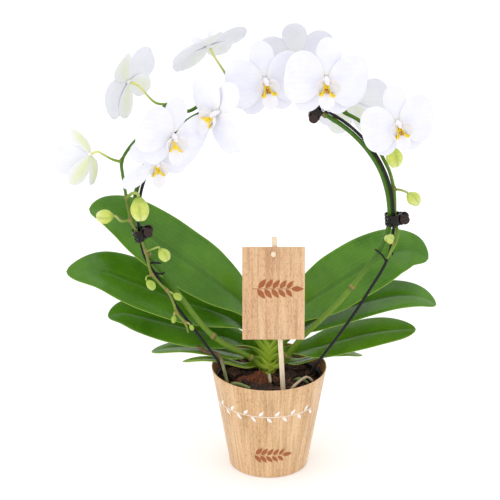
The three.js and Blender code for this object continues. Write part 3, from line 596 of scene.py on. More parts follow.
def clip_look():
    """The dark glossy plastic of the clips' jaws."""
    look = Look("clip_plastic", 0.14)
    colour = look.blend(look.noise(5, detail=2), 0.3, 0.7, (12, 7, 7), (28, 15, 13))
    smears = look.noise(1.6)
    gloss = {"Specular_IOR_Level": 0.25, "Coat_Weight": 0.06}
    return look.finish(colour, look.ramp(smears, -0.15, 3.2), look.bump(smears, 0.08, 0.05), **gloss)


def pad_look():
    look = Look("clip_pad", 0.12)
    swirl = look.noise(3, detail=2)
    colour = look.blend(swirl, 0.3, 0.7, (26, 12, 10), (52, 24, 18))
    return look.finish(colour, look.ramp(swirl, -0.1, 3.4), Specular_IOR_Level=0.3, Coat_Weight=0.12)


def steel_look():
    look = Look("spring_steel", 0.3)
    drawn = look.noise(0.5, detail=2)
    colour = look.mix(drawn, (150, 150, 155), (108, 108, 112))
    return look.finish(colour, look.ramp(drawn, -0.4, 2.0), Metallic=1.0)


def pot_plastic_look():
    look = Look("pot_plastic", 0.5)
    scuffs = look.noise(7, detail=4)
    colour = look.blend(scuffs, 0.4, 0.7, (34, 30, 28), (58, 52, 47))
    return look.finish(colour, look.ramp(scuffs, -0.6, 1.8), look.bump(look.noise(1.2, detail=2), 0.15, 0.1))


def oak_look(name, width, height, light, base, pore, roughness=0.55):
    """Printed or real oak with an upright grain. width and height are what its UV places span."""
    look = Look(name, roughness)

    def grain(across, along, detail=2, distortion=0.0):
        stretch = (width / across, height / along, 1)
        return look.noise(1, detail=detail, stretch=stretch, of="UV", distortion=distortion)

    broad = grain(13, 150, distortion=0.4)
    bands = grain(3.2, 60, detail=3, distortion=0.3)
    fibres = grain(0.9, 14, detail=3)
    pores = grain(0.7, 6)
    dashes = grain(0.5, 3.2)
    toned = look.blend(broad, 0.3, 0.7, base, light)
    banded = look.lay(bands, 0.42, 0.68, 0.42, toned, pore)
    fibrous = look.lay(fibres, 0.5, 0.68, 0.42, banded, light)
    long_pores = look.times(look.ramp(pores, 0.53, 0.66), look.ramp(broad, 0.8, 0.3))
    short_pores = look.times(look.ramp(dashes, 0.56, 0.66), 0.6)
    pored = look.mix(look.times(look.math("MAXIMUM", long_pores, short_pores), 0.85), fibrous, pore)
    normal = look.bump(pores, 0.12, 0.08)
    return look.finish(pored, look.ramp(bands, -1.4 * roughness, 2.4), normal, Coat_Weight=0.06)


def kraft_look():
    look = Look("kraft_card", 0.85)
    fibres = look.noise(1.6, detail=4, stretch=(1, 1, 0.5))
    colour = look.blend(look.noise(22, detail=2), 0.3, 0.7, (146, 100, 58), (168, 122, 76))
    fibrous = look.lay(fibres, 0.5, 0.75, 0.5, colour, (110, 72, 40))
    return look.finish(fibrous, normal=look.bump(fibres, 0.25, 0.15))


def print_look(name, light, dark):
    look = Look(name, 0.6)
    ink = look.noise(1.1, detail=4, stretch=(1, 1, 0.3))
    return look.finish(look.blend(ink, 0.35, 0.7, light, dark), normal=look.bump(ink, 0.1, 0.05))


def splint_look():
    look = Look("splint_wood", 0.62)
    grain = look.noise(0.9, stretch=(1, 1, 0.06))
    bands = look.noise(2.2, detail=2, stretch=(1, 1, 0.03))
    colour = look.blend(bands, 0.35, 0.7, (247, 230, 204), (234, 210, 174))
    grained = look.lay(grain, 0.55, 0.75, 0.55, colour, (184, 144, 100))
    return look.finish(grained, normal=look.bump(grain, 0.2, 0.12))


# The printed oak of the cover spans its girth along the rim.
COVER_GIRTH = 412

TEPAL = tepal_look()
LIP = lip_look()
LEAF_TOP = leaf_look("leaf_upper", True)
LEAF_UNDER = leaf_look("leaf_under", False)
STEM = stem_look()
BUD = bud_look()
CROWN = crown_look()
ROOT = root_look()
# The bed's near-black tone is partly the dark bark itself and partly painted shade of the gaps between the
# chips.
BARK_BED_AND_GAP_SHADE = bark_look("bark_bed_and_gap_shade", (44, 27, 18), (14, 9, 6))
BARK_CHIP = bark_look("bark_chip", (128, 82, 54), (50, 30, 20))
BARK_DARK = bark_look("bark_dark", (72, 46, 32), (24, 15, 10))
FIBRE = fibre_look()
WIRE = wire_look()
CLIP = clip_look()
PAD = pad_look()
STEEL = steel_look()
POT_PLASTIC = pot_plastic_look()
COVER_TONES = ((236, 198, 152), (218, 174, 124), (150, 102, 58))
COVER_OAK = oak_look("cover_oak_print", COVER_GIRTH, COVER_HEIGHT, *COVER_TONES)
TAG_TONES = ((238, 199, 155), (221, 174, 128), (156, 106, 72))
TAG_OAK = oak_look("tag_oak", TAG_WIDTH, TAG_HEIGHT, *TAG_TONES, roughness=0.6)
KRAFT = kraft_look()
PRINT_BROWN = print_look("print_brown", (172, 98, 48), (150, 80, 36))
PRINT_WHITE = print_look("print_white", (250, 246, 242), (240, 232, 226))
SPLINT = splint_look()


# Routes and places, as in the model's source


def arch_point(angle, outward=0, y=ARCH_Y):
    """A point of the arch, angle 0 at the right and 90 at the top."""
    return [
        ARCH_X + (ARCH_RADIUS_X + outward) * math.cos(rad(angle)),
        y,
        ARCH_Z + (ARCH_RADIUS_Z + outward) * math.sin(rad(angle)),
    ]


ARCH_LEFT_LEG = [
    [-40, -8, 62], [-41.5, -8, 102], [-56, -8, 126], [-80, -8, 162.5], [-103, -8, 196], [-125, -8, 233],
    [-138, -8, 256.5], [-143.5, -8, 283],
]
ARCH_RIGHT_LEG = [
    [135.5, -8, 281], [130.5, -8, 254], [110, -8, 214], [91, -8, 181.5], [63, -8, 139], [50, -8, 120],
    [42, -8, 103], [40, -8, 62],
]
ARCH_ROUTE = [*ARCH_LEFT_LEG, *[arch_point(180 - i * 15) for i in range(13)], *ARCH_RIGHT_LEG]
ARCH_HOOKS = [
    [[-134, -8, 249], [-127, -9.5, 250.5], [-120, -10, 250]],
    [[-128, -8, 238.5], [-121, -9.5, 237], [-116, -10, 239]],
    [[129, -8, 252], [124, -11, 261], [116, -12, 268]],
    [[132, -8, 261], [135.5, -8.5, 265], [136, -9, 259]],
]
LEAVES = [
    {
        "name": "leaf_left_1", "width": 72, "roll": 42, "keel": 14,
        "midrib": [
            [-5.6, 22, 134], [-17, 24, 158], [-32, 28, 185], [-71, 36, 216], [-103, 42, 238],
            [-135, 47, 260], [-162, 51, 279], [-184, 53, 288], [-204, 54, 290],
        ],
    },
    {
        "name": "leaf_left_2", "width": 66, "roll": 34, "keel": 9,
        "midrib": [
            [-6.6, 21, 126.5], [-19, 22, 145], [-35, 25, 162], [-62, 30, 175], [-96, 34, 186],
            [-124, 36, 196], [-158, 38, 209], [-192, 39, 221], [-231, 40, 219],
        ],
    },
    {
        "name": "leaf_left_3", "width": 58, "roll": 27, "keel": 9,
        "midrib": [
            [-7.4, 21, 119.5], [-22, 21, 132], [-39, 23, 141], [-79, 30, 150], [-111, 33, 157],
            [-147, 35, 166], [-168, 35, 170], [-185, 35, 166],
        ],
    },
    {
        "name": "leaf_left_4", "width": 36, "roll": 3, "keel": 9,
        "midrib": [
            [-8.8, 21, 114], [-22, 19, 120], [-42, 17, 127], [-62, 16, 132], [-85, 17, 135],
            [-113, 20, 133], [-135, 22, 127],
        ],
    },
    {
        "name": "leaf_left_5", "width": 19, "roll": -4, "keel": 8,
        "midrib": [[-7.8, 17, 108.2], [-25, 11, 113], [-49, 5.5, 122.4], [-73, 5, 126], [-99, 4, 123]],
    },
    {
        "name": "leaf_right_1", "width": 72, "roll": 40, "keel": 11,
        "midrib": [
            [6.6, 22, 134], [22, 25, 157], [41, 28, 183], [69, 35, 201], [96, 40, 218], [121, 44, 231],
            [143, 47, 240], [163, 49, 241], [182, 50, 231],
        ],
    },
    {
        "name": "leaf_right_2", "width": 58, "roll": 17, "keel": 12,
        "midrib": [
            [7.6, 21, 126.5], [24, 22, 143], [41, 25, 157], [56, 28, 165], [81, 32, 174], [116, 36, 184],
            [150, 38, 190], [172, 39, 188], [192, 40, 178],
        ],
    },
    {
        "name": "leaf_right_3", "width": 50, "roll": 19, "keel": 8,
        "midrib": [
            [7.9, 21, 119], [25, 20, 124], [41, 21, 129], [59, 23, 133.5], [82, 27, 139], [110, 31, 145],
            [139, 33, 149], [169, 34, 150],
        ],
    },
    {
        "name": "leaf_right_4", "width": 25, "roll": -9, "keel": 4,
        "midrib": [
            [7.9, 22.6, 109.6], [28, 19, 114.5], [47, 18.5, 120.5], [65, 20, 125.5], [87, 22, 125.5],
            [108, 24, 121.5],
        ],
    },
]
SPIKE_RIGHT = [
    [4, 14.5, 110.5], [13.5, 10, 116], [21, 4, 130], [31, -1, 148], [43, -3, 163], [61, -8, 184],
    [79, -9, 204], [104, -7, 237], [121, -4, 262], [128, -4.4, 279], arch_point(-3, -4, -4.6),
    arch_point(1, -4, -4.6), arch_point(12, -4.1, -4), arch_point(24, -4.1, -4), arch_point(36, -4.6, -6),
    arch_point(48, -4.9, -7), arch_point(60, -4.8, -7), arch_point(68, -4.8, -6.5),
    arch_point(76, -2, -1.8), arch_point(84, 4, -1), arch_point(95, 8.5, 0.5), arch_point(106, 8, 1),
    arch_point(117, 7.5, 1), arch_point(125, 8, 1), [-109, 1, 431], [-125, 0, 417], [-141, -3, 397],
    [-154, -6, 382], [-161, -9, 369], [-160, -10, 352], [-157, -12, 330], [-154, -14, 312],
    [-152, -14, 300], [-147.5, -12.8, 291], [-144, -12.6, 284], [-140.5, -12.8, 276], [-136, -14, 262],
    [-131, -14.5, 240], [-122, -15, 228], [-113, -15, 218], [-107, -15, 204], [-103, -15, 191],
    [-94, -14, 179], [-91, -13, 167],
]
SPIKE_LEFT = [
    [-2, 12.5, 110.5], [-10, 8, 116], [-20, 5, 127], [-34, 1, 137], [-49, 0, 146], [-63, -1, 157],
    [-80, -2, 177], [-103, -2, 211.5], [-120, -2, 236.5], [-134, -2, 256], [-140.5, -1.8, 271],
    [-143.5, -1.6, 284], arch_point(180, 1.5, -3.5), arch_point(171, 5, -3.5), arch_point(160, 4, -3),
    arch_point(149, 1, -2), arch_point(137, 0, -2), arch_point(125, 0, -2), arch_point(112, -2, -2.6),
    arch_point(103, -2, -2), arch_point(95, -2.5, -1), arch_point(88, -1.5, 4.5), arch_point(81, 2, 8),
    arch_point(72, 8, 9), arch_point(62, 9, 8), [81, 7, 420], [95, 7, 412], [108, 6, 401], [118, 2, 388],
    arch_point(30, 4.6, -2), arch_point(22, 4.4, -2.8), arch_point(12, 3, -2.4), arch_point(0, 1.6, -2.6),
    [139.5, -4.2, 293], [141, -11, 285], [137.5, -14.6, 275], [130, -13.6, 257],
]

# radii lists the stem's radius at shares of its length.
SPIKES = {
    "right": {
        "route": Route(SPIKE_RIGHT), "radii": ((0, 0.16, 0.36, 0.45, 1), (3.24, 3.15, 2.8, 2.2, 1.36)),
    },
    "left": {"route": Route(SPIKE_LEFT), "radii": ((0, 0.16, 0.3, 1), (3.24, 3.15, 2.64, 1.79))},
}

# One flower's petals and sepals: angle from the flower's right, tilt to the front in degrees, how it bends
# along its length (bend) and across its width (cup), how far forward it starts (raise), and how its outline
# swells from its base and closes at its tip (round).
DORSAL = {
    "angle": 90, "length": 42, "width": 28, "tilt": -3, "bend": -0.1, "cup": 0.1, "raise": -0.6,
    "round": (0.7, 0.5),
}
PETAL = {
    "angle": -1, "length": 45, "width": 56, "tilt": 9, "bend": -0.16, "cup": -0.06, "raise": 1.1,
    "round": (0.55, 0.4),
}
LATERAL = {
    "angle": -56, "length": 43, "width": 27, "tilt": -2, "bend": -0.02, "cup": 0.12, "raise": -0.6,
    "round": (0.85, 0.52),
}
TEPAL_START = 1.9

# at is the flower's heart. yaw turns it to the right from the viewer, 180 is facing away; pitch tips it up;
# roll turns it anticlockwise as seen from its front. stalk runs from the spike to its neck.
BLOOMS = [
    {
        "name": "bloom_top_left", "spike": "right", "at": [-66.6, 24, 490], "yaw": 220, "pitch": 45,
        "roll": -26, "size": 1, "stalk": [[-43, 1, 449], [-47, 4, 462]],
        "right_petal": {"width": 64, "angle": -8, "tilt": 3}, "left_petal": {"width": 44, "tilt": 3},
        "right_sepal": {"width": 34, "angle": -48},
    },
    {
        "name": "bloom_far_left", "spike": "right", "at": [-155, 36, 446], "yaw": 236, "pitch": 8,
        "roll": -34, "size": 1, "stalk": [[-109, 1, 431], [-124, 10, 430]],
        "left_petal": {"width": 46, "tilt": 4}, "right_petal": {"width": 50, "tilt": 4},
        "dorsal": {"width": 33},
    },
    {
        "name": "bloom_top_back", "spike": "left", "at": [30, 40, 474], "yaw": 180, "pitch": 6, "roll": -8,
        "size": 0.98, "stalk": [[21, 2, 440], [24, 8, 452]], "left_petal": {"tilt": 4},
        "right_petal": {"tilt": 4},
    },
    {
        "name": "bloom_right_back", "spike": "left", "at": [91, 46, 420], "yaw": 166, "pitch": -4,
        "roll": -4, "size": 0.97, "stalk": [[81, 7, 420], [84, 16, 425]], "left_petal": {"tilt": 4},
        "right_petal": {"tilt": 4},
    },
    {
        "name": "bloom_front_centre", "spike": "left", "at": [-6, -31, 469], "yaw": 12, "pitch": 2,
        "roll": 7, "size": 0.97, "stalk": [[-14, -1, 442], [-12, -7, 452]],
    },
    {
        "name": "bloom_front_right", "spike": "right", "at": [58, -43, 474], "yaw": 10, "pitch": 2,
        "roll": -7, "size": 1.02, "stalk": [[69, -8, 417], [69, -0.5, 422], [65, 4, 442]],
    },
    {
        "name": "bloom_right", "spike": "left", "at": [134, -44, 426], "yaw": 16, "pitch": 4, "roll": 6,
        "size": 0.92, "stalk": [[118, 2, 388], [124, -6, 408]], "left_petal": {"angle": 188},
    },
    {
        "name": "bloom_left_centre", "spike": "right", "at": [-54.5, -46, 438], "yaw": -50, "pitch": -5,
        "roll": -38, "size": 0.95, "stalk": [[-64, 1, 442], [-50, -8, 452]],
        "right_petal": {"length": 50, "width": 60, "angle": -18, "tilt": 2},
        "dorsal": {"length": 44, "width": 31}, "left_petal": {"length": 49, "angle": 174, "width": 58},
    },
    {
        "name": "bloom_left", "spike": "left", "at": [-103, -56, 416], "yaw": 26, "pitch": -6, "roll": -8,
        "size": 0.95, "stalk": [[-98, -1.4, 402], [-99, -12, 414]], "left_petal": {"angle": 166},
        "right_petal": {"angle": -20, "tilt": 2, "width": 68}, "right_sepal": {"angle": -62},
        "left_sepal": {"angle": -128},
    },
    {
        "name": "bloom_lower_left", "spike": "left", "at": [-122, -38, 381], "yaw": 16, "pitch": -8,
        "roll": 0, "size": 0.86, "stalk": [[-140, -2.5, 350], [-138, -12, 366]], "dorsal": {"angle": 92},
        "left_petal": {"angle": 134, "width": 38, "length": 40},
        "right_petal": {"angle": 55, "width": 36, "length": 36},
        "left_sepal": {"angle": -139, "width": 24, "length": 55},
        "right_sepal": {"angle": -22, "width": 24, "length": 42},
    },
    {
        "name": "bloom_opening", "spike": "right", "at": [-196, -2, 375], "yaw": -126, "pitch": -26,
        "roll": 14, "size": 0.8, "stalk": [[-161, -9, 369], [-170, -8.5, 371], [-180, -8.5, 376.5]],
        "dorsal": {"tilt": 14, "bend": 0.3, "cup": 0.3},
        "left_petal": {"tilt": 40, "bend": 0.1, "width": 42, "cup": 0.2},
        "right_petal": {"tilt": 40, "bend": 0.1, "width": 42, "cup": 0.2},
        "left_sepal": {"tilt": 8, "bend": 0.5, "cup": 0.3},
        "right_sepal": {"tilt": 4, "bend": 0.5, "cup": 0.3}, "closed": True,
    },
]

# at is where the stalk joins, towards points along the bud.
BUDS = [
    {
        "name": "bud_right_1", "spike": "left", "at": [131, -12, 387], "towards": [0.25, -0.2, -1],
        "length": 23, "width": 18, "stalk": [[123, -2, 378], [126, -6, 388]],
    },
    {
        "name": "bud_right_2", "spike": "left", "at": [151, -12, 333], "towards": [0.75, -0.9, -0.5],
        "length": 18, "width": 14.5, "stalk": [[137, -3.4, 335], [144, -9, 336]],
    },
    {
        "name": "bud_right_3", "spike": "left", "at": [133, -19, 280], "towards": [-0.3, -0.7, 0.7],
        "length": 13, "width": 11, "stalk": [[136.5, -13.6, 275], [135, -16, 277]],
    },
    {
        "name": "bud_left_1", "spike": "right", "at": [-143, -22, 333], "towards": [0.1, -0.15, -1],
        "length": 27, "width": 20, "stalk": [[-157, -12, 328], [-149, -18, 336]],
    },
    {
        "name": "bud_left_2", "spike": "right", "at": [-171, -18, 309], "towards": [-1, -0.25, 0.1],
        "length": 19, "width": 15.5, "stalk": [[-155, -13, 303], [-163, -17, 303]],
    },
    {
        "name": "bud_left_3", "spike": "right", "at": [-121, -19, 271], "towards": [0.6, -0.3, -0.9],
        "length": 16, "width": 13, "stalk": [[-137, -14, 266], [-129, -17, 270]],
    },
    {
        "name": "bud_left_4", "spike": "right", "at": [-136, -18.5, 233], "towards": [0.7, -0.3, -0.8],
        "length": 13, "width": 9.5, "stalk": [[-130, -14.5, 238], [-136, -17, 237]],
    },
    {
        "name": "bud_left_5", "spike": "right", "at": [-107, -19, 217], "towards": [0.85, -0.3, -0.5],
        "length": 11, "width": 8, "stalk": [[-114, -15, 219.5], [-110, -18, 219]],
    },
    {
        "name": "bud_left_6", "spike": "right", "at": [-106.5, -17, 190], "towards": [-0.1, -0.1, -1],
        "length": 9, "width": 6, "stalk": [[-103, -15, 193], [-106, -16.5, 193.5]],
    },
    {
        "name": "bud_left_7", "spike": "right", "at": [-89, -18, 179], "towards": [0.5, -0.3, -0.8],
        "length": 7, "width": 5, "stalk": [[-94, -14, 180], [-91.5, -16.5, 181]],
    },
]

# grip is the direction of the finger pads in the arch's plane.
CLIPS = [
    {
        "name": "clip_left", "at": [-144, -6.8, 284], "grip": 17, "half_across": 5.4, "half_depth": 9.7,
        "pad_reach": 10.5,
    },
    {
        "name": "clip_top", "at": arch_point(67, -2.6, -7.2), "grip": -109, "half_across": 6.6,
        "half_depth": 5.8, "pad_reach": 9.5,
    },
    {
        "name": "clip_right", "at": [135.4, -5, 301], "grip": 4, "half_across": 7.4, "half_depth": 6.4,
        "pad_reach": 13,
    },
]
ROOTS = [
    {
        "name": "root_left", "radius": 2.3,
        "points": [
            [-81, 2, 144], [-72, 1, 137], [-64, -1, 136.5], [-57, -2, 134], [-51.5, -17, 125],
            [-49, -19.5, 115], [-47, -21, 106], [-46.5, -21, 96],
        ],
    },
    {
        "name": "root_front_left", "radius": 2.2,
        "points": [
            [-40, -31, 97], [-39, -32, 104], [-35, -35, 108], [-28, -39, 109.5], [-20, -43, 108],
            [-15, -45, 104], [-14, -45, 97],
        ],
    },
    {
        "name": "root_tip", "radius": 2.6,
        "points": [[-1, -3, 97], [-1, -4, 105], [0, -9, 112], [0.5, -14, 111], [1, -18, 106.5]],
    },
    {
        "name": "root_right", "radius": 1.9,
        "points": [
            [24, -31, 97], [24.5, -31.5, 104], [27.5, -32, 109], [37, -22, 113], [43, -18, 114],
            [50, -18, 109],
        ],
    },
    {
        "name": "root_back_right", "radius": 1.9,
        "points": [
            [28, -8, 96], [28.5, -9, 104], [32, -12, 109], [37, -15, 110], [43, -16.5, 107],
            [45.5, -17, 102], [46, -17, 96],
        ],
    },
]

# Blooms

# How strongly the lip is coloured and spotted, where that is less than usual.
LIP_SPOTS = {"bloom_left": 0.35, "bloom_left_centre": 0.4, "bloom_lower_left": 0.6}

# How green-yellow the backs of the sepals are, where that is more than usual.
PLAIN_BACK = 0.1
GREEN_BACKS = {"bloom_opening": 1.0, "bloom_far_left": 0.6, "bloom_top_left": 0.25, "bloom_right_back": 0.5}
PETAL_GREEN = 0.12

# How many rows and columns of faces a petal and a sepal have.
PETAL_GRID = (30, 22)
SEPAL_GRID = (26, 14)
LOBE_THICKNESS = 0.8
MID_LOBE_THICKNESS = 1.0


def flower_frame(bloom):
    """The flower's own axes: X to its right, Y up, Z to its front."""
    yaw, pitch, roll = (rad(bloom[key]) for key in ("yaw", "pitch", "roll"))
    size = bloom["size"]
    level = np.array([math.cos(yaw), math.sin(yaw), 0])
    front = np.array([math.sin(yaw) * math.cos(pitch), -math.cos(yaw) * math.cos(pitch), math.sin(pitch)])
    upright = np.cross(front, level)
    right = level * math.cos(roll) + upright * math.sin(roll)
    return matrix_of(right * size, np.cross(front, right) * size, front * size, bloom["at"])


def add_tepal(form, tepal, grid, rng, green, ruffle):
    """One petal or sepal. The front is white; the back takes as much green-yellow as green says."""
    outward = np.array([math.cos(rad(tepal["angle"])), math.sin(rad(tepal["angle"])), 0])
    sideways = np.array([-outward[1], outward[0], 0])
    low, high = tepal["round"]
    length, width, tilt = tepal["length"], tepal["width"], rad(tepal["tilt"])
    phase = rng.uniform(0, PHASES, 3)

    def outline(s):
        return s**low * np.clip(1 - s, 0, 1) ** high

    widest = outline(low / (low + high))

    def surface(s, t):
        half = np.maximum((width / 2) * outline(s) / widest, 1.5 * (1 - s) ** 2 + 0.02)
        reach = TEPAL_START + (length - TEPAL_START) * s * math.cos(tilt)
        rise = tepal["raise"] + length * (s * math.sin(tilt) + tepal["bend"] * s * s)
        front = rise + tepal["cup"] * half * t * t
        wave = np.sin(2.6 * t + 4.1 * s + phase[0]) * s * t * t
        ripple = 0.35 * np.sin(9 * t + 6 * s + phase[1]) * np.abs(t) ** 3 * smoothstep(s, 0.15, 0.6)
        crease = -0.5 * bell(t, 0.07) * smoothstep(s, 0, 0.1) * (1 - smoothstep(s, 0.7, 1))
        points = outward * reach[..., None] + sideways * (t * half)[..., None]
        points[..., 2] = front + ruffle * (wave + ripple) * (half / 20) + 0.5 * crease
        return points

    def front_mark(s, t):
        return stacked(0.06 * green * (1 - smoothstep(s, 0, 0.5)), 0.5 * (1 - smoothstep(s, 0, 0.2)), 0)

    def back_mark(s, t):
        middle = 1 - smoothstep(np.abs(t), 0.1, 0.95)
        return stacked(green * (0.25 + 0.75 * middle) * (1 - 0.35 * smoothstep(s, 0.6, 1)), 0, 0)

    rows = 0.5 * (toward_tip(grid[0], 2.4) + (np.linspace(0, 1, grid[0] + 1) ** 1.15))
    add_blade(form, surface, rows, to_edges(grid[1]), PETAL_THICKNESS, mark=front_mark, back_mark=back_mark)


def add_ellipsoid(form, centre, axes, slot, mark):
    """A rounded body about a centre. axes are its three half-axes as vectors, the last from end to end."""
    rows, sides, pole = 8, 12, 0.06
    a, b, c = (np.array(axis, float) for axis in axes)
    turns = full_turn(sides)
    around = a * np.cos(turns)[:, None] + b * np.sin(turns)[:, None]
    polars = np.linspace(pole, math.pi - pole, rows + 1)
    rings = [np.array(centre, float) - c * math.cos(polar) + around * math.sin(polar) for polar in polars]
    add_rings(form, rings, slot, mark)


def add_side_lobe(form, side, spots):
    """One of the two upright lobes that cup the column. side is 1 for the flower's right, -1 for its left."""
    centre = np.array([6.6 * side, -7.6, 11.2])
    tall = unit([0.2 * side, 1, 0.02])
    deep = unit([0.62 * side, 0.02, 0.78])
    outward = unit(np.cross(tall, deep))
    outward = outward * np.sign(outward[0] * side)

    def surface(s, t):
        a = 2 * s - 1
        half = 7.6 * np.sqrt(np.clip(1 - np.abs(a) ** 2.3, 0, 1)) * (1 - 0.16 * a) + 0.02
        b = t * half
        hollow = 3.4 * (1 - a * a) - 0.055 * b * b
        curl = -3.2 * smoothstep(a, 0.35, 1.0)
        flare = 1.3 * smoothstep(t, 0.2, 1.0) * (1 - a * a)
        points = centre + tall * (10.2 * a)[..., None] + deep * b[..., None]
        return points + outward * (hollow + curl + flare)[..., None]

    def inner_mark(s, t):
        yellow = (1 - smoothstep(s, 0.0, 0.34)) * (1 - 0.5 * smoothstep(np.abs(t), 0.5, 1))
        red = (1 - smoothstep(s, 0.18, 0.5)) * (1 - smoothstep(t, -0.1, 0.5))
        return stacked(yellow * (0.5 + 0.5 * spots), 0.8 * red * spots**1.5, 0)

    def outer_mark(s, t):
        return stacked(0.8 * (1 - smoothstep(s, 0.0, 0.16)), 0, 0)

    rows = 0.5 - 0.5 * np.cos(np.linspace(0, math.pi, 15))
    outer_first = np.dot(facing(surface, 0.5, 0.0, 0.1, 0.1), outward) > 0
    marks = (outer_mark, inner_mark) if outer_first else (inner_mark, outer_mark)
    add_blade(form, surface, rows, to_edges(10), LOBE_THICKNESS, (1, 1), *marks)


def add_mid_lobe(form, spots):
    """The lip's lower lobe: a keeled trowel that hangs forward, with a curled tendril at each side of its
    tip."""
    route = Route([(0, -4, 4), (0, -10.5, 8.5), (0, -17, 11.5), (0, -24, 15), (0, -29.6, 18.6)])

    def surface(s, t):
        half = np.interp(s, (0, 0.2, 0.42, 0.58, 0.76, 0.92, 1), (2.6, 3.4, 6.2, 8.4, 8.6, 6.0, 1.4))
        keel = 2.6 * np.abs(t) ** 1.4 * smoothstep(s, 0.2, 0.6) * (1 - 0.5 * smoothstep(s, 0.7, 1))
        return route.at(s) + stacked(t * half, 0.5 * keel, 0.9 * keel)

    def mark(s, t):
        yellow = bell(s - 0.4, 0.13) * smoothstep(np.abs(t), 0.25, 0.8)
        base = (1 - smoothstep(s, 0.2, 0.42)) * 0.7
        red = (1 - smoothstep(s, 0.3, 0.5)) * (1 - smoothstep(np.abs(t), 0.3, 0.9))
        return stacked(np.maximum(yellow, base) * (0.45 + 0.55 * spots), 0.8 * red * spots**1.5, 0)

    def under_mark(s, t):
        return stacked(0 * s, 0, 0)

    add_blade(form, surface, toward_tip(20, 1.5), to_edges(12), MID_LOBE_THICKNESS, (1, 1), mark, under_mark)
    for side in (-1, 1):
        tendril = Route([
            (0.8 * side, -28.6, 18), (2.6 * side, -30.2, 18.8), (4.8 * side, -28.4, 19.8),
            (5.0 * side, -25.6, 19.4), (3.4 * side, -24.6, 18.6),
        ])
        add_tube(form, tendril, lambda s: 0.5 - 0.3 * s, 6, 14, slot=1)


def add_callus(form, spots):
    """The yellow cushion between the side lobes, split in two, with red bars."""
    for side in (-1, 1):
        axes = ((1.5, 0, 0.2 * side), (0, 1.7, -1.2), (0, -1.3, 2.6))
        add_ellipsoid(form, (1.3 * side, -10.6, 11.6), axes, 1, (0.6 + 0.3 * spots, spots**1.5, 0))


def add_column(form):
    """The club at the flower's centre, with the cap over its pollen."""
    club = Route([(0, 0.2, -FLOWER_BACK), (0, 0, 0), (0, -0.4, 3.6), (0, -1.4, 6.8), (0, -2.9, 9)])

    def radius(s):
        return np.interp(s, (0, 0.2, 0.45, 0.75, 0.93, 1), (1.7, 2.7, 2.7, 3.1, 3.0, 1.8))

    def mark_at(s):
        return stacked(0.15 * (s < 0.3), 0, 0.15 * smoothstep(s, 0.5, 1.0))

    add_tube(form, club, radius, 14, 16, slot=1, mark_at=mark_at)
    cap_axes = ((2.5, 0, 0), (0, 1.7, 0.9), (0, -1.5, 1.7))
    add_ellipsoid(form, (0, -3.0, 9.4), cap_axes, 1, (0.05, 0, 0.2))


def make_bloom(bloom, index):
    name = bloom["name"]
    rng = np.random.default_rng(SEED + index)
    form = Form()
    green = GREEN_BACKS.get(name, PLAIN_BACK)

    def own(base, key):
        return {**base, **bloom.get(key, {})}

    def mirrored(tepal):
        return {**tepal, "angle": 180 - tepal["angle"]}

    add_tepal(form, own(DORSAL, "dorsal"), SEPAL_GRID, rng, green, ruffle=0.3)
    for base, key in ((PETAL, "right_petal"), (mirrored(PETAL), "left_petal")):
        add_tepal(form, own(base, key), PETAL_GRID, rng, PETAL_GREEN * green, ruffle=0.9)
    for base, key in ((LATERAL, "right_sepal"), (mirrored(LATERAL), "left_sepal")):
        add_tepal(form, own(base, key), SEPAL_GRID, rng, green, ruffle=0.35)
    add_column(form)
    if not bloom.get("closed"):
        spots = LIP_SPOTS.get(name, 1.0)
        add_side_lobe(form, 1, spots)
        add_side_lobe(form, -1, spots)
        add_mid_lobe(form, spots)
        add_callus(form, spots)
    form.piece(f"{name}_flower", [TEPAL, LIP], [name], flower_frame(bloom))


# Buds


def make_bud(bud):
    """A closed bud with three seams and three keels round it."""
    axis = unit(bud["towards"])
    side = unit(np.cross(axis, (0, 0, 1)))
    front = np.cross(axis, side)
    sides, rows = 36, 26
    turns = full_turn(sides)
    ribs = np.cos(3 * turns)
    rings = []
    marks = []
    young = 0.75 * (1 - smoothstep(bud["width"], 6, 17))
    for s in 0.5 - 0.5 * np.cos(np.linspace(0, math.pi, rows + 1)):
        swell = max(0.16, math.sin(math.pi * (0.06 + 0.86 * s)) ** 0.72)
        close = 1 - smoothstep(s, 0.955, 1.0) * 0.92
        radius = bud["width"] / 2 * swell * close
        seam = bell(ribs + 1, 0.16) * smoothstep(s, 0.1, 0.4)
        keel = bell(ribs - 1, 0.1)
        ribbed = radius * (1 + 0.08 * ribs - 0.11 * seam + 0.03 * keel)
        centre = np.array(bud["at"]) + axis * (GAP + s * bud["length"])
        across = side * (np.cos(turns) * ribbed)[:, None] + front * (np.sin(turns) * ribbed)[:, None]
        rings.append(centre + across)
        pale = smoothstep(s, 0.55, 1.0) * 0.5
        base = np.maximum((1 - smoothstep(s, 0.0, 0.35)) * 0.8, young)
        marks.append(stacked(pale, seam, base))
    form = Form()
    add_rings(form, rings, mark=marks)
    form.piece(f"{bud['name']}_closed", [BUD], [bud["name"]])


# Leaves

# How yellow-green a leaf is, where it is more so than usual.
LEAF_TINT = {"leaf_left_4": 0.12, "leaf_left_5": 0.62, "leaf_right_4": 0.2, "leaf_right_3": 0.08}

# How far a leaf's base curls round, in radians each side, and its greatest half width.
CLASP = 1.8
CLASP_WIDTH = 12.5
LEAF_ROWS = 64
LEAF_COLUMNS = 26


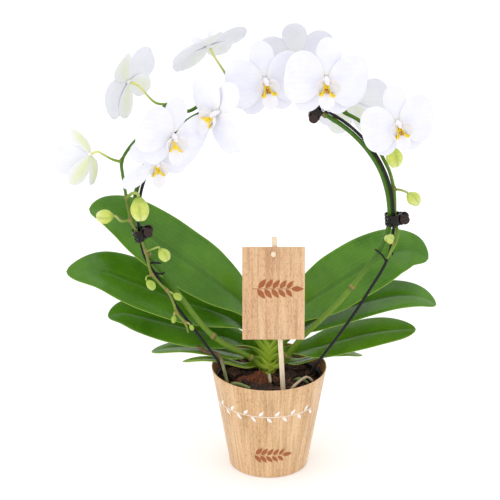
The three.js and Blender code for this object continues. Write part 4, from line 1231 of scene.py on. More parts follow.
def make_leaf(leaf, index):
    """A keeled blade whose base is a rounded channel that clasps the crown."""
    start = np.array(leaf["midrib"][0], float)
    inner = np.array([lerp(CROWN_X, start[0], 0.25), lerp(CROWN_Y, start[1], 0.6), start[2] - 11])
    route = Route([inner, *leaf["midrib"]])
    lead = 1 - Route(leaf["midrib"]).length / route.length
    width = leaf["width"]
    sheath = min(CLASP_WIDTH, 0.42 * width)
    rng = np.random.default_rng(SEED + 100 + index)
    phase = rng.uniform(0, PHASES, 4)
    tint = LEAF_TINT.get(leaf["name"], 0.0)

    def own_share(s):
        return np.clip((s - lead) / (1 - lead), 0, 1)

    def half_width(own):
        base = sheath / (width / 2)
        widening = base + (1 - base) * smoothstep(own, 0.03, 0.5)
        taper = np.clip(1 - (np.clip(own - 0.6, 0, 1) / 0.4) ** 2, 0, 1) ** LEAF_TIP_SHARPNESS
        return np.maximum((width / 2) * widening * taper, 0.03)

    def surface(s, t):
        along = route.along(s)
        own = own_share(s)
        up = np.array([0.0, 0.0, 1.0])
        normal = unit(up - along * along[..., 2:3])
        rear = np.cross(along, normal)
        rear = np.where(rear[..., 1:2] < 0, -rear, rear)
        turn = (rad(leaf["roll"]) * smoothstep(own, 0.04, 0.35))[..., None]
        side = rear * np.cos(turn) + normal * np.sin(turn)
        lift = normal * np.cos(turn) - rear * np.sin(turn)
        half = half_width(own)
        opened = smoothstep(own, 0.0, 0.22)
        fold = np.radians(lerp(44, leaf["keel"], smoothstep(own, 0, 0.3)))
        blade_side = t * half * np.cos(fold)
        blade_rise = half * (np.abs(t) * np.sin(fold) - 0.1 * t * t)
        channel_side = half / CLASP * np.sin(CLASP * t)
        channel_rise = half / CLASP * (1 - np.cos(CLASP * t))
        groove = -0.9 * bell(t * half, 1.7) * smoothstep(own, 0.04, 0.2) * (1 - smoothstep(own, 0.8, 1.0))
        wave = 0.8 * np.sin(7 * own + phase[0] + 1.4 * t) * t * t * smoothstep(own, 0.15, 0.4)
        wave = wave + 0.35 * np.sin(19 * own + phase[1]) * np.abs(t) ** 3 * smoothstep(own, 0.15, 0.4)
        ridges = 0.04 * np.cos(9 * t) * smoothstep(own, 0.1, 0.3) * (1 - smoothstep(own, 0.85, 1))
        height = lerp(channel_rise, blade_rise, opened) + groove + (wave + ridges) * np.minimum(1, half / 14)
        sideways = lerp(channel_side, blade_side, opened)
        return route.at(s) + side * sideways[..., None] + lift * height[..., None]

    def leaf_mark(s, t, rib):
        own = own_share(s)
        half = np.maximum(half_width(own), 0.5)
        margin = 1 - smoothstep((1 - np.abs(t)) * half, 0.2, 1.0)
        # The midrib's darkening is painted shade of its groove; it is weaker on the underside.
        groove = bell(t * half, 1.3) * (1 - smoothstep(own, 0.7, 1.0)) * rib
        lime = np.maximum(tint, 1 - smoothstep(own, 0.0, 0.12))
        return stacked(margin, groove, lime)

    form = Form()
    rows = 0.45 * toward_tip(LEAF_ROWS, 2.2) + 0.55 * np.linspace(0, 1, LEAF_ROWS + 1)
    upward = facing(surface, 0.5, -0.1, 0.02, 0.2)[2] > 0
    add_blade(
        form,
        surface,
        rows,
        to_edges(LEAF_COLUMNS),
        LEAF_THICKNESS,
        slots=(0, 1) if upward else (1, 0),
        mark=lambda s, t: leaf_mark(s, t, 1.0),
        back_mark=lambda s, t: leaf_mark(s, t, 0.6),
        edge=9,
    )
    form.piece(f"{leaf['name']}_blade", [LEAF_TOP, LEAF_UNDER], [leaf["name"]])


# Crown: a column of clasping leaf bases, each with a notched edge

# Each sheath's lowest and highest edge, the way that its leaf leaves in degrees, and its lean outward.
CROWN_SHEATHS = [
    (100, 136, 180, 5.5),
    (99, 130, 0, 5.0),
    (98, 124, 188, 4.6),
    (97, 118, -8, 3.8),
    (96, 111, 205, 3.0),
]
CROWN_LOW = 70
CROWN_HIGH = 139.6
SHEATH_THICKNESS = 0.8


def add_sheath(form, low, high, towards, lean, out):
    """A curved shell on the crown, open opposite its leaf, with a V-shaped upper edge and a thin dry rim."""

    def surface(s, t):
        turn = towards + t * rad(128)
        notch = (high - low) * (0.16 + 0.5 * np.abs(t) ** 1.3)
        z = low + (high - low - notch) * s
        swell = out + lean * s**1.6 * np.clip(np.cos(t * 1.5), 0, 1)
        return stacked(CROWN_X + (6.9 + swell) * np.cos(turn), CROWN_Y + (7.8 + swell) * np.sin(turn), z)

    def mark(s, t):
        sides = smoothstep(np.abs(t), 0.95, 1.0) * smoothstep(s, 0.5, 1) * 0.9
        rim = np.maximum(smoothstep(s, 0.95, 1.0) * 0.5, sides)
        return stacked(rim, 0.1 * smoothstep(s, 0.5, 1.0), 0)

    add_blade(form, surface, np.linspace(0, 1, 13), to_edges(30), SHEATH_THICKNESS, mark=mark)


def make_crown():
    form = Form()
    turns = full_turn(40)
    rings = []
    marks = []
    for z in np.linspace(CROWN_LOW, CROWN_HIGH, 40):
        spread = np.interp(z, (70, 96, 112, 130, 136, 140), (0.7, 0.85, 0.86, 0.6, 0.4, 0.08))
        bulge = 1 + 0.035 * np.sin(z * 0.42) * np.cos(turns + z * 0.2)
        x = CROWN_X + 8 * spread * bulge * np.cos(turns)
        y = CROWN_Y + 9 * spread * bulge * np.sin(turns)
        rings.append(stacked(x, y, z))
        marks.append(stacked(0 * turns, smoothstep(z, 128, 140) * 0.4, 0))
    add_rings(form, rings, mark=marks)
    for order, (low, high, towards, lean) in enumerate(CROWN_SHEATHS):
        add_sheath(form, low, high, rad(towards), lean, 0.45 + 0.3 * order)
    form.piece("crown_sheaths", [CROWN], ["crown"])


# Spikes: stems with node rings and bracts, and the stalks of their flowers and buds

# Places of the leafless nodes on each spike, by a point close to them.
NODE_RINGS = {
    "left": [(-20, 5, 127), (-63, -1, 157), (-134, -2, 256)],
    "right": [(21, 4, 130), (91, -8, 221), (60, -12, 425)],
}
STEM_STEP = 2.2
FLOWER_STALK = 1.6
FLOWER_NECK = 1.25
NECK_LENGTH = 9
BRACT_THICKNESS = 0.5
NODE_LENGTH = 5.5

# The share of a stem's length from which its tip is drawn in, and how thick it is there.
STEM_TIP = 0.992
TIP_THICKNESS = 0.7


def spike_radius(spike, shares):
    return np.interp(shares, *spike["radii"]) * np.where(shares > STEM_TIP, TIP_THICKNESS, 1)


def stalk_routes(side):
    """The flower and bud stalks of one spike: where they leave it, their route, their radii at the ends and
    in the middle, and whether they bear a flower."""
    route = SPIKES[side]["route"]
    stalks = []
    for bloom in BLOOMS:
        if bloom["spike"] != side:
            continue
        front = flower_frame(bloom)[:3, 2] / bloom["size"]
        end = np.array(bloom["at"]) - front * (FLOWER_BACK * bloom["size"] + GAP)
        share = route.nearest(bloom["stalk"][0])
        points = [route.at(share), *bloom["stalk"][1:], end - front * NECK_LENGTH, end]
        stalks.append((share, Route(points), FLOWER_STALK, FLOWER_NECK, True))
    for bud in BUDS:
        if bud["spike"] != side:
            continue
        end = np.array(bud["at"], float)
        neck = end - unit(bud["towards"]) * 0.16 * bud["width"]
        share = route.nearest(bud["stalk"][0])
        radius = max(0.85, bud["width"] * 0.085)
        points = [route.at(share), *bud["stalk"][1:], neck, end]
        stalks.append((share, Route(points), radius, radius, False))
    return stalks


def add_bract(form, route, share, radius, towards, length):
    """A small dry scale that clasps the stem under a stalk."""
    centre = route.at(share)
    along = route.along(share)
    out = unit(towards - along * np.dot(towards, along))
    across = np.cross(along, out)

    def surface(s, t):
        angle = t * 1.25 * (1 - 0.35 * s)
        spread = (radius + 0.35 + 0.9 * s**2) * np.sqrt(np.clip(1 - s * s * 0.85, 0.02, 1))
        reach = radius + 0.35 + 1.3 * s * s
        ring = out * (np.cos(angle) * reach)[..., None] + across * (np.sin(angle) * spread)[..., None]
        return centre + along * ((s - 0.35) * length)[..., None] + ring

    def mark(s, t):
        return stacked(0, 0.5 + 0.5 * s, 0)

    add_blade(form, surface, np.linspace(0, 1, 9), to_edges(8), BRACT_THICKNESS, mark=mark)


def add_node_ring(form, route, share, radius):
    """A dry sheath round the stem at a node, swollen low down."""
    half = NODE_LENGTH / route.length / 2

    def ring_radius(shares):
        s = (shares - share) / half
        swell = 0.55 * np.exp(-((s + 0.4) ** 2) * 2.0) + 0.3
        return radius + swell * np.where(np.abs(s) > 0.98, 0.2, 1)

    def mark_at(shares):
        return stacked(0, 0.35 + 0.5 * smoothstep((shares - share) / half, -0.2, 0.9), 0)

    add_tube(form, route, ring_radius, 14, 10, mark_at=mark_at, start=share - half, end=share + half)


def make_spike(side):
    spike = SPIKES[side]
    route = spike["route"]
    stalks = stalk_routes(side)
    nodes = [route.nearest(point) for point in NODE_RINGS[side]]

    def radius_at(shares):
        radius = spike_radius(spike, shares)
        for share, *_ in stalks:
            radius = radius + 0.45 * bell((shares - share) * route.length, 3.2)
        for share in nodes:
            radius = radius + 0.35 * bell((shares - share) * route.length, 3.0)
        return radius

    def mark_at(shares):
        brown = sum(0.25 * bell((shares - share) * route.length, 1.6) for share, *_ in stalks)
        if side == "right":
            brown = brown + 0.4 * smoothstep(shares, 0.74, 0.82)
        lime = 0.85 * (1 - smoothstep(shares, 0.0, 0.03)) + 0.3 * smoothstep(shares, 0.7, 1.0)
        lime = lime + 0.22 * (1 - smoothstep(shares, 0.15, 0.22))
        return stacked(0, np.clip(brown, 0, 1), np.clip(lime, 0, 1))

    form = Form()
    add_tube(form, route, radius_at, 14, int(route.length / STEM_STEP), mark_at=mark_at)
    for _, stalk, thick, neck, flower in stalks:

        def stalk_radius(s):
            swell = 0.2 * smoothstep(s, 0.9, 1.0) if flower else 0
            return lerp(thick, neck, np.sin(math.pi * np.clip(s, 0, 1))) + 0.5 * bell(s, 0.07) + swell

        def stalk_mark(s):
            pale = (1.0 if flower else 0.4) * smoothstep(s, 0.2, 0.85)
            return stacked(pale, 0.3 * bell(s, 0.05), 0.35)

        add_tube(form, stalk, stalk_radius, 12, 22, mark_at=stalk_mark)
    form.piece(f"spike_{side}_stem", [STEM], [f"spike_{side}"])
    dry = Form()
    for share, stalk, thick, *_ in stalks:
        towards = stalk.at(0.35) - stalk.at(0.0)
        add_bract(dry, route, share - 1.6 / route.length, radius_at(share) - 0.2, towards, 3.2 + 1.4 * thick)
    for share in nodes:
        add_node_ring(dry, route, share, spike_radius(spike, share) + 0.3)
    dry.piece(f"spike_{side}_bracts", [STEM])


# Wire arch: spiral-ribbed coated wire and its small hooks

RIB_PITCH = 2.6
RIB_DEPTH = 0.2
WIRE_SIDES = 12
WIRE_STEP = 0.55
HOOK_RADIUS = 1.1


def make_arch():
    route = Route(ARCH_ROUTE)
    turns = full_turn(WIRE_SIDES)

    def radius_at(shares):
        twist = shares[:, None] * route.length / RIB_PITCH * 2 * math.pi
        return WIRE_RADIUS - RIB_DEPTH * (0.5 - 0.5 * np.cos(2 * turns[None, :] - twist))

    def hook_radius(shares):
        return HOOK_RADIUS * np.sqrt(1 - np.clip((shares - 0.9) / 0.1, 0, 0.97) ** 2)

    form = Form()
    add_tube(form, route, radius_at, WIRE_SIDES, int(route.length / WIRE_STEP))
    for points in ARCH_HOOKS:
        add_tube(form, Route(points), hook_radius, 10, 24)
    form.piece("wire_arch_ribbed", [WIRE], ["wire_arch"])


# Solids made with Blender's own tools


def prism(outline, low, high):
    """A bmesh solid: the outline extruded along Z from low to high."""
    made = bmesh.new()
    face = made.faces.new([made.verts.new((x, y, low)) for x, y in outline])
    moved = bmesh.ops.extrude_face_region(made, geom=[face])["geom"]
    verts = [v for v in moved if isinstance(v, bmesh.types.BMVert)]
    bmesh.ops.translate(made, verts=verts, vec=(0, 0, high - low))
    bmesh.ops.recalc_face_normals(made, faces=made.faces)
    return made


def rounded_box(size, radius):
    """A box about the origin with rounded edges, as a bmesh."""
    made = bmesh.new()
    bmesh.ops.create_cube(made, size=1)
    bmesh.ops.scale(made, vec=size, verts=made.verts)
    bmesh.ops.bevel(made, geom=list(made.edges), offset=radius, segments=3, affect="EDGES", profile=0.5)
    return made


def object_of(name, made):
    """A new object with a bmesh's shape. The bmesh is used up."""
    mesh = bpy.data.meshes.new(name)
    made.to_mesh(mesh)
    made.free()
    return linked(name, mesh)


def applied(target, helpers):
    """The target's mesh with its modifiers applied, in bmesh form. The target and its helpers are removed."""
    bpy.context.view_layer.update()
    evaluated = target.evaluated_get(bpy.context.evaluated_depsgraph_get())
    made = bmesh.new()
    made.from_mesh(evaluated.to_mesh())
    evaluated.to_mesh_clear()
    for scrap in [target, *helpers]:
        bpy.data.objects.remove(scrap)
    return made


def parts_of(made):
    """A bmesh's points and faces. The bmesh is used up."""
    made.verts.index_update()
    points = np.array([tuple(v.co) for v in made.verts])
    faces = [[v.index for v in face.verts] for face in made.faces]
    made.free()
    return points, faces


# Clips: two glossy jaws with three teeth, domed finger pads, a pin and a coil spring

JAW_WIDTH = 12.5
JAW_WALL = 1.5
JAW_SPLIT = 0.4
TOOTH_GAP = 1.7
TOOTH_SPACING = 2.3
SHARP = 40

# The pad's middle stands this far from the clip's middle plane. Its profile is radius and height.
PAD_DEPTH = 6
PAD_PROFILE = (
    (0.2, -0.8), (4.6, -0.8), (5.2, -0.55), (5.4, 0), (5.2, 0.5), (4.7, 0.75), (4.2, 0.62), (2.4, 0.95),
    (0.2, 1.1),
)
PIN_RADIUS = 1.0
PIN_OFFSET = 1.2
COIL_RADIUS = 1.05
COIL_WIRE = 0.28
COIL_LOOPS = 5


def clip_matrix(clip):
    """A clip's own axes: X to its finger pads, Y away from the viewer and Z along the stem."""
    grip = rad(clip["grip"])
    out = np.array([math.cos(grip), 0, math.sin(grip)])
    away = np.array([0, 1.0, 0])
    return matrix_of(out, away, np.cross(out, away), clip["at"])


def jaw_outline(clip, sign):
    """A jaw's outline: a half ring and the lever beyond the pin. sign is -1 for the front jaw."""
    across, depth = clip["half_across"], clip["half_depth"]

    def ellipse(extra, angle):
        return ((across + extra) * math.cos(angle), sign * (JAW_SPLIT + (depth + extra) * math.sin(angle)))

    angles = np.radians(np.linspace(8, 172, 25))
    inner = [ellipse(0, a) for a in reversed(angles)]
    outer = [ellipse(JAW_WALL, a) for a in angles[3:]]
    hinge = across + JAW_WALL + PIN_OFFSET
    tip = max(clip["pad_reach"], hinge) + 1.5
    lever = [
        (hinge, sign * (JAW_SPLIT + PIN_RADIUS + GAP)),
        (lerp(hinge, tip, 0.45), sign * 3.0),
        (tip, sign * 5),
        (tip, sign * 6.4),
        (lerp(hinge, tip, 0.2), sign * 5.2),
        (hinge - 2, sign * 4.4),
    ]
    return [*inner, *lever, *outer]


def make_jaw(clip, sign, label):
    jaw = object_of("jaw", prism(jaw_outline(clip, sign), -JAW_WIDTH / 2, JAW_WIDTH / 2))
    across, depth = clip["half_across"], clip["half_depth"]
    cutters = []

    def cut_box(low, high):
        corners = [(low[0], low[1]), (high[0], low[1]), (high[0], high[1]), (low[0], high[1])]
        cutter = object_of("cutter", prism(corners, low[2], high[2]))
        cut = jaw.modifiers.new("cut", "BOOLEAN")
        cut.operation = "DIFFERENCE"
        cut.solver = "EXACT"
        cut.object = cutter
        cutters.append(cutter)

    for z in (-TOOTH_SPACING, TOOTH_SPACING):
        cut_box((-2 * across - 2, -depth - 3, z - TOOTH_GAP / 2), (-2, depth + 3, z + TOOTH_GAP / 2))
    start = across + JAW_WALL + 1.6
    for low, high in ((JAW_WIDTH / 4, JAW_WIDTH), (-JAW_WIDTH, -JAW_WIDTH / 4)):
        cut_box((start, -25, low), (start + 20, 25, high))
    bevel = jaw.modifiers.new("soft edges", "BEVEL")
    bevel.width = 0.35
    bevel.segments = 2
    bevel.limit_method = "ANGLE"
    bevel.angle_limit = rad(35)
    form = Form()
    form.add(*parts_of(applied(jaw, cutters)))
    turns = full_turn(28)
    reach = clip["pad_reach"]
    rings = np.array([
        stacked(reach + radius * np.cos(turns), sign * (PAD_DEPTH + height), radius * np.sin(turns))
        for radius, height in PAD_PROFILE
    ])
    add_rings(form, rings if sign < 0 else rings[:, ::-1], slot=1)
    name = f"{clip['name']}_{label}_jaw"
    form.piece(f"{name}_gloss", [CLIP, PAD], [name], clip_matrix(clip), sharp=SHARP)


def make_clip(clip):
    make_jaw(clip, -1, "front")
    make_jaw(clip, 1, "rear")
    x = clip["half_across"] + JAW_WALL + PIN_OFFSET
    form = Form()
    half = JAW_WIDTH * 0.3
    add_tube(form, Route([(x, 0, -half), (x, 0, half)]), lambda s: PIN_RADIUS * 0.62 + 0 * s, 14, 6)
    turns = np.linspace(0, COIL_LOOPS * 2 * math.pi, COIL_LOOPS * 12 + 1)
    heights = lerp(-half * 0.8, half * 0.8, turns / (COIL_LOOPS * 2 * math.pi))
    coil = Route(stacked(x + COIL_RADIUS * np.cos(turns), COIL_RADIUS * np.sin(turns), heights))
    add_tube(form, coil, lambda s: COIL_WIRE + 0 * s, 8, COIL_LOOPS * 24)
    form.piece(f"{clip['name']}_spring", [STEEL], [f"{clip['name']}_pin"], clip_matrix(clip))


# Tag board, splint and peg

PEG_X = -0.3
PEG_Z = 46

# The peg's radius and depth behind the front of the board, from the middle of its head to its shaft's end.
PEG_HEAD = (
    (0.1, -4.3), (1.6, -4.35), (2.6, -4.0), (3.0, -3.2), (3.0, -0.7), (2.75, -0.25), (1.9, 0.0), (1.9, 2.4),
    (0.1, 2.4),
)

# The splint has one row of points between its ends, at this height.
STICK_ROW = 40


def tag_matrix():
    """The tag's own axes: X to the right, Y away from the viewer and Z up the board."""
    lean = -rad(TAG_LEAN)
    up = np.array([0, -math.sin(lean), math.cos(lean)])
    away = np.array([0, math.cos(lean), math.sin(lean)])
    return matrix_of((1, 0, 0), away, up, TAG_CENTRE)


def make_tag():
    points, faces = parts_of(rounded_box((TAG_WIDTH, TAG_THICKNESS, TAG_HEIGHT), 0.3))
    form = Form()
    form.add(points, faces, place=stacked(points[:, 0] / TAG_WIDTH + 0.5, points[:, 2] / TAG_HEIGHT + 0.5))
    form.piece("tag_board_oak", [TAG_OAK], ["tag_board"], tag_matrix(), sharp=SHARP)


def make_peg():
    turns = full_turn(32)
    start = -TAG_THICKNESS / 2 - GAP
    rings = np.array([
        stacked(PEG_X + radius * np.cos(turns), start + depth, PEG_Z + radius * np.sin(turns))
        for radius, depth in PEG_HEAD
    ])
    form = Form()
    add_rings(form, rings[:, ::-1])
    form.piece("tag_peg_turned", [SPLINT], ["tag_peg"], tag_matrix())


def make_stick():
    lean = np.array(Matrix.Rotation(-rad(TAG_LEAN), 4, "X"))
    left = np.array(Matrix.Rotation(-rad(STICK_LEAN_LEFT), 4, "Y"))
    matrix = lean @ left
    matrix[:3, 3] = STICK_FOOT
    made = rounded_box((STICK_WIDTH, STICK_THICKNESS, STICK_LENGTH), 0.45)
    bmesh.ops.translate(made, verts=made.verts, vec=(0, 0, STICK_LENGTH / 2))
    geometry = [*made.verts, *made.edges, *made.faces]
    bmesh.ops.bisect_plane(made, geom=geometry, plane_co=(0, 0, STICK_ROW), plane_no=(0, 0, 1))
    form = Form()
    form.add(*parts_of(made))
    form.piece("tag_stick_wood", [SPLINT], ["tag_stick"], matrix, sharp=SHARP)


# Plain printed motif: a leafy twig

TWIG_PAIRS = 5
PRINT_HEIGHT = 0.12
PRINT_CLEARANCE = 0.01


def leaf_shape(length, width):
    """A flat pointed oval from (0, 0) to (length, 0), as outline points."""
    shares = np.linspace(0, 1, 11)
    half = width / 2 * np.sin(math.pi * shares**0.85)
    upper = [(length * s, h) for s, h in zip(shares, half)]
    lower = [(length * s, -h) for s, h in zip(shares[::-1], half[::-1])]
    return [*upper, *lower[1:-1]]


def moved_shape(shape, turn, start, size=1.0):
    """A flat shape turned about the origin, scaled, and moved to start."""
    cos, sin = math.cos(turn), math.sin(turn)
    return [(start[0] + size * (x * cos - y * sin), start[1] + size * (x * sin + y * cos)) for x, y in shape]


def twig_outlines(span, leaf_length, leaf_width):
    """Outlines of a twig that runs along X, with leaves in pairs and one at its end."""
    outlines = [[(-span / 2, -0.35), (span / 2, -0.25), (span / 2, 0.25), (-span / 2, 0.35)]]
    leaf = leaf_shape(leaf_length, leaf_width)
    for k in range(TWIG_PAIRS):
        share = k / (TWIG_PAIRS - 1)
        x = lerp(-span * 0.36, span * 0.36, share)
        for side in (-1, 1):
            outlines.append(moved_shape(leaf, side * rad(52), (x + 0.6 * side, 0.5 * side), 1 - 0.18 * share))
    outlines.append(moved_shape(leaf, 0, (span / 2 - 1, 0)))
    return outlines


def add_decals(form, outlines, to_space):
    """Thin printed shapes. to_space takes flat points and a height off the surface."""
    for outline in outlines:
        flat = np.array(outline, float)
        centre = flat.mean(0)
        rings = [flat * share + centre * (1 - share) for share in (0.02, 0.5, 1.0)]
        top = [to_space(ring, PRINT_HEIGHT) for ring in rings]
        under = [to_space(ring, PRINT_CLEARANCE) for ring in rings[::-1]]
        add_rings(form, [*top, *under])


def make_tag_print():
    def to_space(flat, height):
        return stacked(flat[:, 0] - 1.5, -TAG_THICKNESS / 2 - height, flat[:, 1] + 5.5)

    form = Form()
    add_decals(form, twig_outlines(44, 14, 6.2), to_space)
    form.piece("tag_print_twig", [PRINT_BROWN], matrix=tag_matrix(), smooth=False)


# Pot cover: card with a printed oak face, a kraft inner face, a glued overlap at the back and a floor

# Where the glued overlap runs down the back, in degrees round the cover.
COVER_SEAM = 90
SEAM_WIDTH = 9
SEAM_THICKNESS = 0.7
COVER_SIDES = 180
COVER_ROWS = 24

# The prints' places: degrees round the cover and height. The band's leaves and its line of short strokes run
# from one side of the front to the other.
TWIG_TURN = -93
TWIG_HEIGHT = 31
BAND_HEIGHT = 84
BAND_LEAVES = 15
LEAF_SPAN = (-160, -38)
BAND_STEPS = 90
BAND_SPAN = (-163, -36)


def cover_radius(z):
    return lerp(COVER_BASE_RADIUS, COVER_RIM_RADIUS, z / COVER_HEIGHT)


def cover_surface(turn, z, out=0.0):
    """Points on the cover's side, or off it by out."""
    radius = cover_radius(z) + out
    return stacked(radius * np.cos(turn), radius * np.sin(turn), z)


def make_cover():
    form = Form()
    turns = rad(COVER_SEAM) + np.linspace(0, 2 * math.pi, COVER_SIDES + 1)
    share = np.linspace(0, 1, COVER_SIDES + 1)
    edge = COVER_HEIGHT - 0.5

    def grid(lines, slot, flipped, heights):
        """Joins lines of points into faces. heights are the lines' places up the print."""
        lines = np.array(lines)
        n = lines.shape[1]
        faces = []
        for i in range(len(lines) - 1):
            for j in range(n - 1):
                a = i * n + j
                face = (a, a + 1, a + n + 1, a + n)
                faces.append(face[::-1] if flipped else face)
        places = np.array([stacked(share, height) for height in heights])
        form.add(lines.reshape(-1, 3), faces, slot, place=places.reshape(-1, 2))

    heights = np.concatenate([[0.25], np.linspace(1.2, edge, COVER_ROWS)])
    grid([cover_surface(turns, z) for z in heights], 0, False, heights / COVER_HEIGHT)
    rim = [
        cover_surface(turns, edge),
        cover_surface(turns, COVER_HEIGHT - 0.12, -0.15),
        cover_surface(turns, COVER_HEIGHT, -COVER_WALL / 2),
        cover_surface(turns, COVER_HEIGHT - 0.12, -COVER_WALL + 0.15),
        cover_surface(turns, edge, -COVER_WALL),
    ]
    grid(rim, 0, False, np.ones(len(rim)))
    inner = [cover_surface(turns, z, -COVER_WALL) for z in np.linspace(edge, COVER_FLOOR, 12)]
    inner += [inner[-1] * (k, k, 1) for k in (0.66, 0.33, 0.01)]
    grid(inner, 1, False, np.full(len(inner), 0.5))
    base = cover_surface(turns, 0.0, -0.4)
    foot = [cover_surface(turns, 0.25), cover_surface(turns, 0.02, -0.25)]
    foot += [base * (k, k, 0) for k in (1.0, 0.8, 0.01)]
    grid(foot, 1, True, np.full(len(foot), 0.5))
    cover = form.piece("pot_cover_card", [COVER_OAK, KRAFT], ["pot_cover"])
    made = bmesh.new()
    made.from_mesh(cover.data)
    bmesh.ops.remove_doubles(made, verts=made.verts, dist=0.002 * MM)
    bmesh.ops.recalc_face_normals(made, faces=made.faces)
    made.to_mesh(cover.data)
    made.free()
    cover.data.set_sharp_from_angle(angle=rad(30))


def make_cover_seam():
    """The glued overlap that runs down the back."""
    form = Form()

    def surface(s, t):
        z = 0.6 + (COVER_HEIGHT - 1.4) * s
        return cover_surface(rad(COVER_SEAM) + t * (SEAM_WIDTH / 2) / cover_radius(z), z, 0.32)

    add_blade(form, surface, np.linspace(0, 1, 25), np.linspace(-1, 1, 9), SEAM_THICKNESS, edge=30)
    points = np.vstack(form.points)
    turn = (np.degrees(np.arctan2(points[:, 1], points[:, 0])) - COVER_SEAM) / 360 + 0.31
    form.places = [stacked(turn, points[:, 2] / COVER_HEIGHT)]
    form.piece("cover_seam", [COVER_OAK])


def make_cover_prints():
    """A small leafy twig low on the front, and a band of pale sprigs where the front is widest."""

    def on_cover(middle_turn, middle_z):
        def to_space(flat, height):
            z = middle_z + flat[:, 1]
            return cover_surface(rad(middle_turn) + flat[:, 0] / cover_radius(z), z, height)

        return to_space

    twig = Form()
    add_decals(twig, twig_outlines(37, 12.5, 5.4), on_cover(TWIG_TURN, TWIG_HEIGHT))
    twig.piece("cover_print_twig", [PRINT_BROWN], smooth=False)
    band = Form()
    leaf = leaf_shape(8.6, 3.6)
    for k in range(BAND_LEAVES):
        side = 1 if k % 2 else -1
        outline = moved_shape(leaf, rad(50 * side), (-2.5, 0.9 * side))
        add_decals(band, [outline], on_cover(lerp(*LEAF_SPAN, k / (BAND_LEAVES - 1)), BAND_HEIGHT))
    for k in range(BAND_STEPS):
        ends = [lerp(*BAND_SPAN, (k + j) / BAND_STEPS) for j in (0, 1)]
        length = rad(ends[1] - ends[0]) * cover_radius(BAND_HEIGHT)
        outline = [(0, -0.35), (length, -0.35), (length, 0.35), (0, 0.35)]
        add_decals(band, [outline], on_cover(ends[0], BAND_HEIGHT))
    band.piece("cover_print_band", [PRINT_WHITE], smooth=False)


# Grower's pot

POT_FOOT = COVER_FLOOR + GAP

# The pot's radius and height, from the middle of its foot round the rim to the middle of its floor.
POT_PROFILE = (
    (0.3, POT_FOOT + 0.5), (38, POT_FOOT + 0.5), (39, POT_FOOT), (41.0, POT_FOOT), (41.4, POT_FOOT + 0.6),
    (59.0, 103.6), (59.4, 103.9), (60.6, 104.0), (61.0, 104.4), (61.0, 106.6), (60.7, 107), (59.4, 107),
    (58.6, 106.4), (58.2, 103), (40.5, POT_FOOT + 1.4), (40, POT_FOOT + 0.8), (0.3, POT_FOOT + 0.8),
)


def make_grower_pot():
    turns = full_turn(96)
    form = Form()
    add_rings(form, [stacked(r * np.cos(turns), r * np.sin(turns), z) for r, z in POT_PROFILE])
    form.piece("grower_pot_rim", [POT_PLASTIC], ["grower_pot"])


# Bark: a rough bed, near black as dark bark and as painted shade of the gaps between chips, chips scattered
# over it, and a tuft of coir

# How many chips of each size, and their longest and shortest length.
BARK_SIZES = ((110, 19, 10), (230, 9, 4))
CHIP_LIMIT = 57.2

# Where the arch's legs and the splint stand in the bark, and how much room each needs.
UPRIGHTS = ((-40.9, ARCH_Y, 2.2), (41.2, ARCH_Y, 2.2), (16, -39, 4.5))
CROWN_ROOM = 10.5
CHIP_SPREAD = 55
COIR_FIBRES = 640
COIR_LIMIT = 56
COIR_RIGHT = 6


def bark_top(x, y):
    r = np.hypot(x, y) / POT_INNER_RADIUS
    chips = 1.3 * np.sin(x * 0.31 + y * 0.17) + 1.2 * np.sin(y * 0.37 - x * 0.11 + 2)
    return BARK_LEVEL + BARK_MOUND * (1 - r * r) + chips * (1 - r**6)


def rotation(angle, axis):
    return np.array(Matrix.Rotation(angle, 3, axis))


def add_chip(form, rng, centre, size, slot):
    """An angular flake: a box whose corners are pulled about, turned at random."""
    made = bmesh.new()
    bmesh.ops.create_cube(made, size=1)
    bmesh.ops.subdivide_edges(made, edges=made.edges, cuts=1, use_grid_fill=True)
    points, faces = parts_of(made)
    spin = rotation(rng.uniform(0, PHASES), "Z")
    tilt = rotation(rng.uniform(-0.55, 0.55), "X") @ rotation(rng.uniform(-0.55, 0.55), "Y")
    points = points * (0.84 + 0.16 * (1 - np.abs(points).max(1, keepdims=True) * 2 + 1))
    points = points + np.array([[rng.uniform(-0.13, 0.13) for _ in range(3)] for _ in points])
    form.add((points * size) @ tilt.T @ spin.T + centre, faces, slot)


def clear_of_stems(x, y, reach):
    """False where a chip would stand in the crown, a leg of the arch, the splint or a root."""
    if math.hypot(x - CROWN_X, y - CROWN_Y) < CROWN_ROOM + reach:
        return False
    upright = [*UPRIGHTS]
    for root in ROOTS:
        for px, py, pz in (root["points"][0], root["points"][-1]):
            if pz < BARK_LEVEL:
                upright.append((px, py, root["radius"] + 0.5))
    return all(math.hypot(x - px, y - py) > room + reach for px, py, room in upright)


def make_bark():
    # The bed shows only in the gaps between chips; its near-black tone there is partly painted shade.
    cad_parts["bark"].data.materials.clear()
    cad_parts["bark"].data.materials.append(BARK_BED_AND_GAP_SHADE)
    rng = random.Random(SEED)
    form = Form()
    for count, longest, shortest in BARK_SIZES:
        placed = 0
        while placed < count:
            turn = rng.uniform(0, 2 * math.pi)
            reach = CHIP_SPREAD * math.sqrt(rng.random())
            x, y = reach * math.cos(turn), reach * math.sin(turn)
            length = rng.uniform(shortest, longest)
            width = length * rng.uniform(0.4, 0.8)
            height = length * rng.uniform(0.2, 0.4)
            if not clear_of_stems(x, y, 0.3 * length) or reach + length * 0.5 > CHIP_LIMIT:
                continue
            z = float(bark_top(x, y)) + rng.uniform(-0.15, 0.6) * height
            add_chip(form, rng, np.array([x, y, z]), np.array([length, width, height]), rng.choice((0, 1, 1)))
            placed += 1
    form.piece("bark_chips", [BARK_CHIP, BARK_DARK], sharp=28)


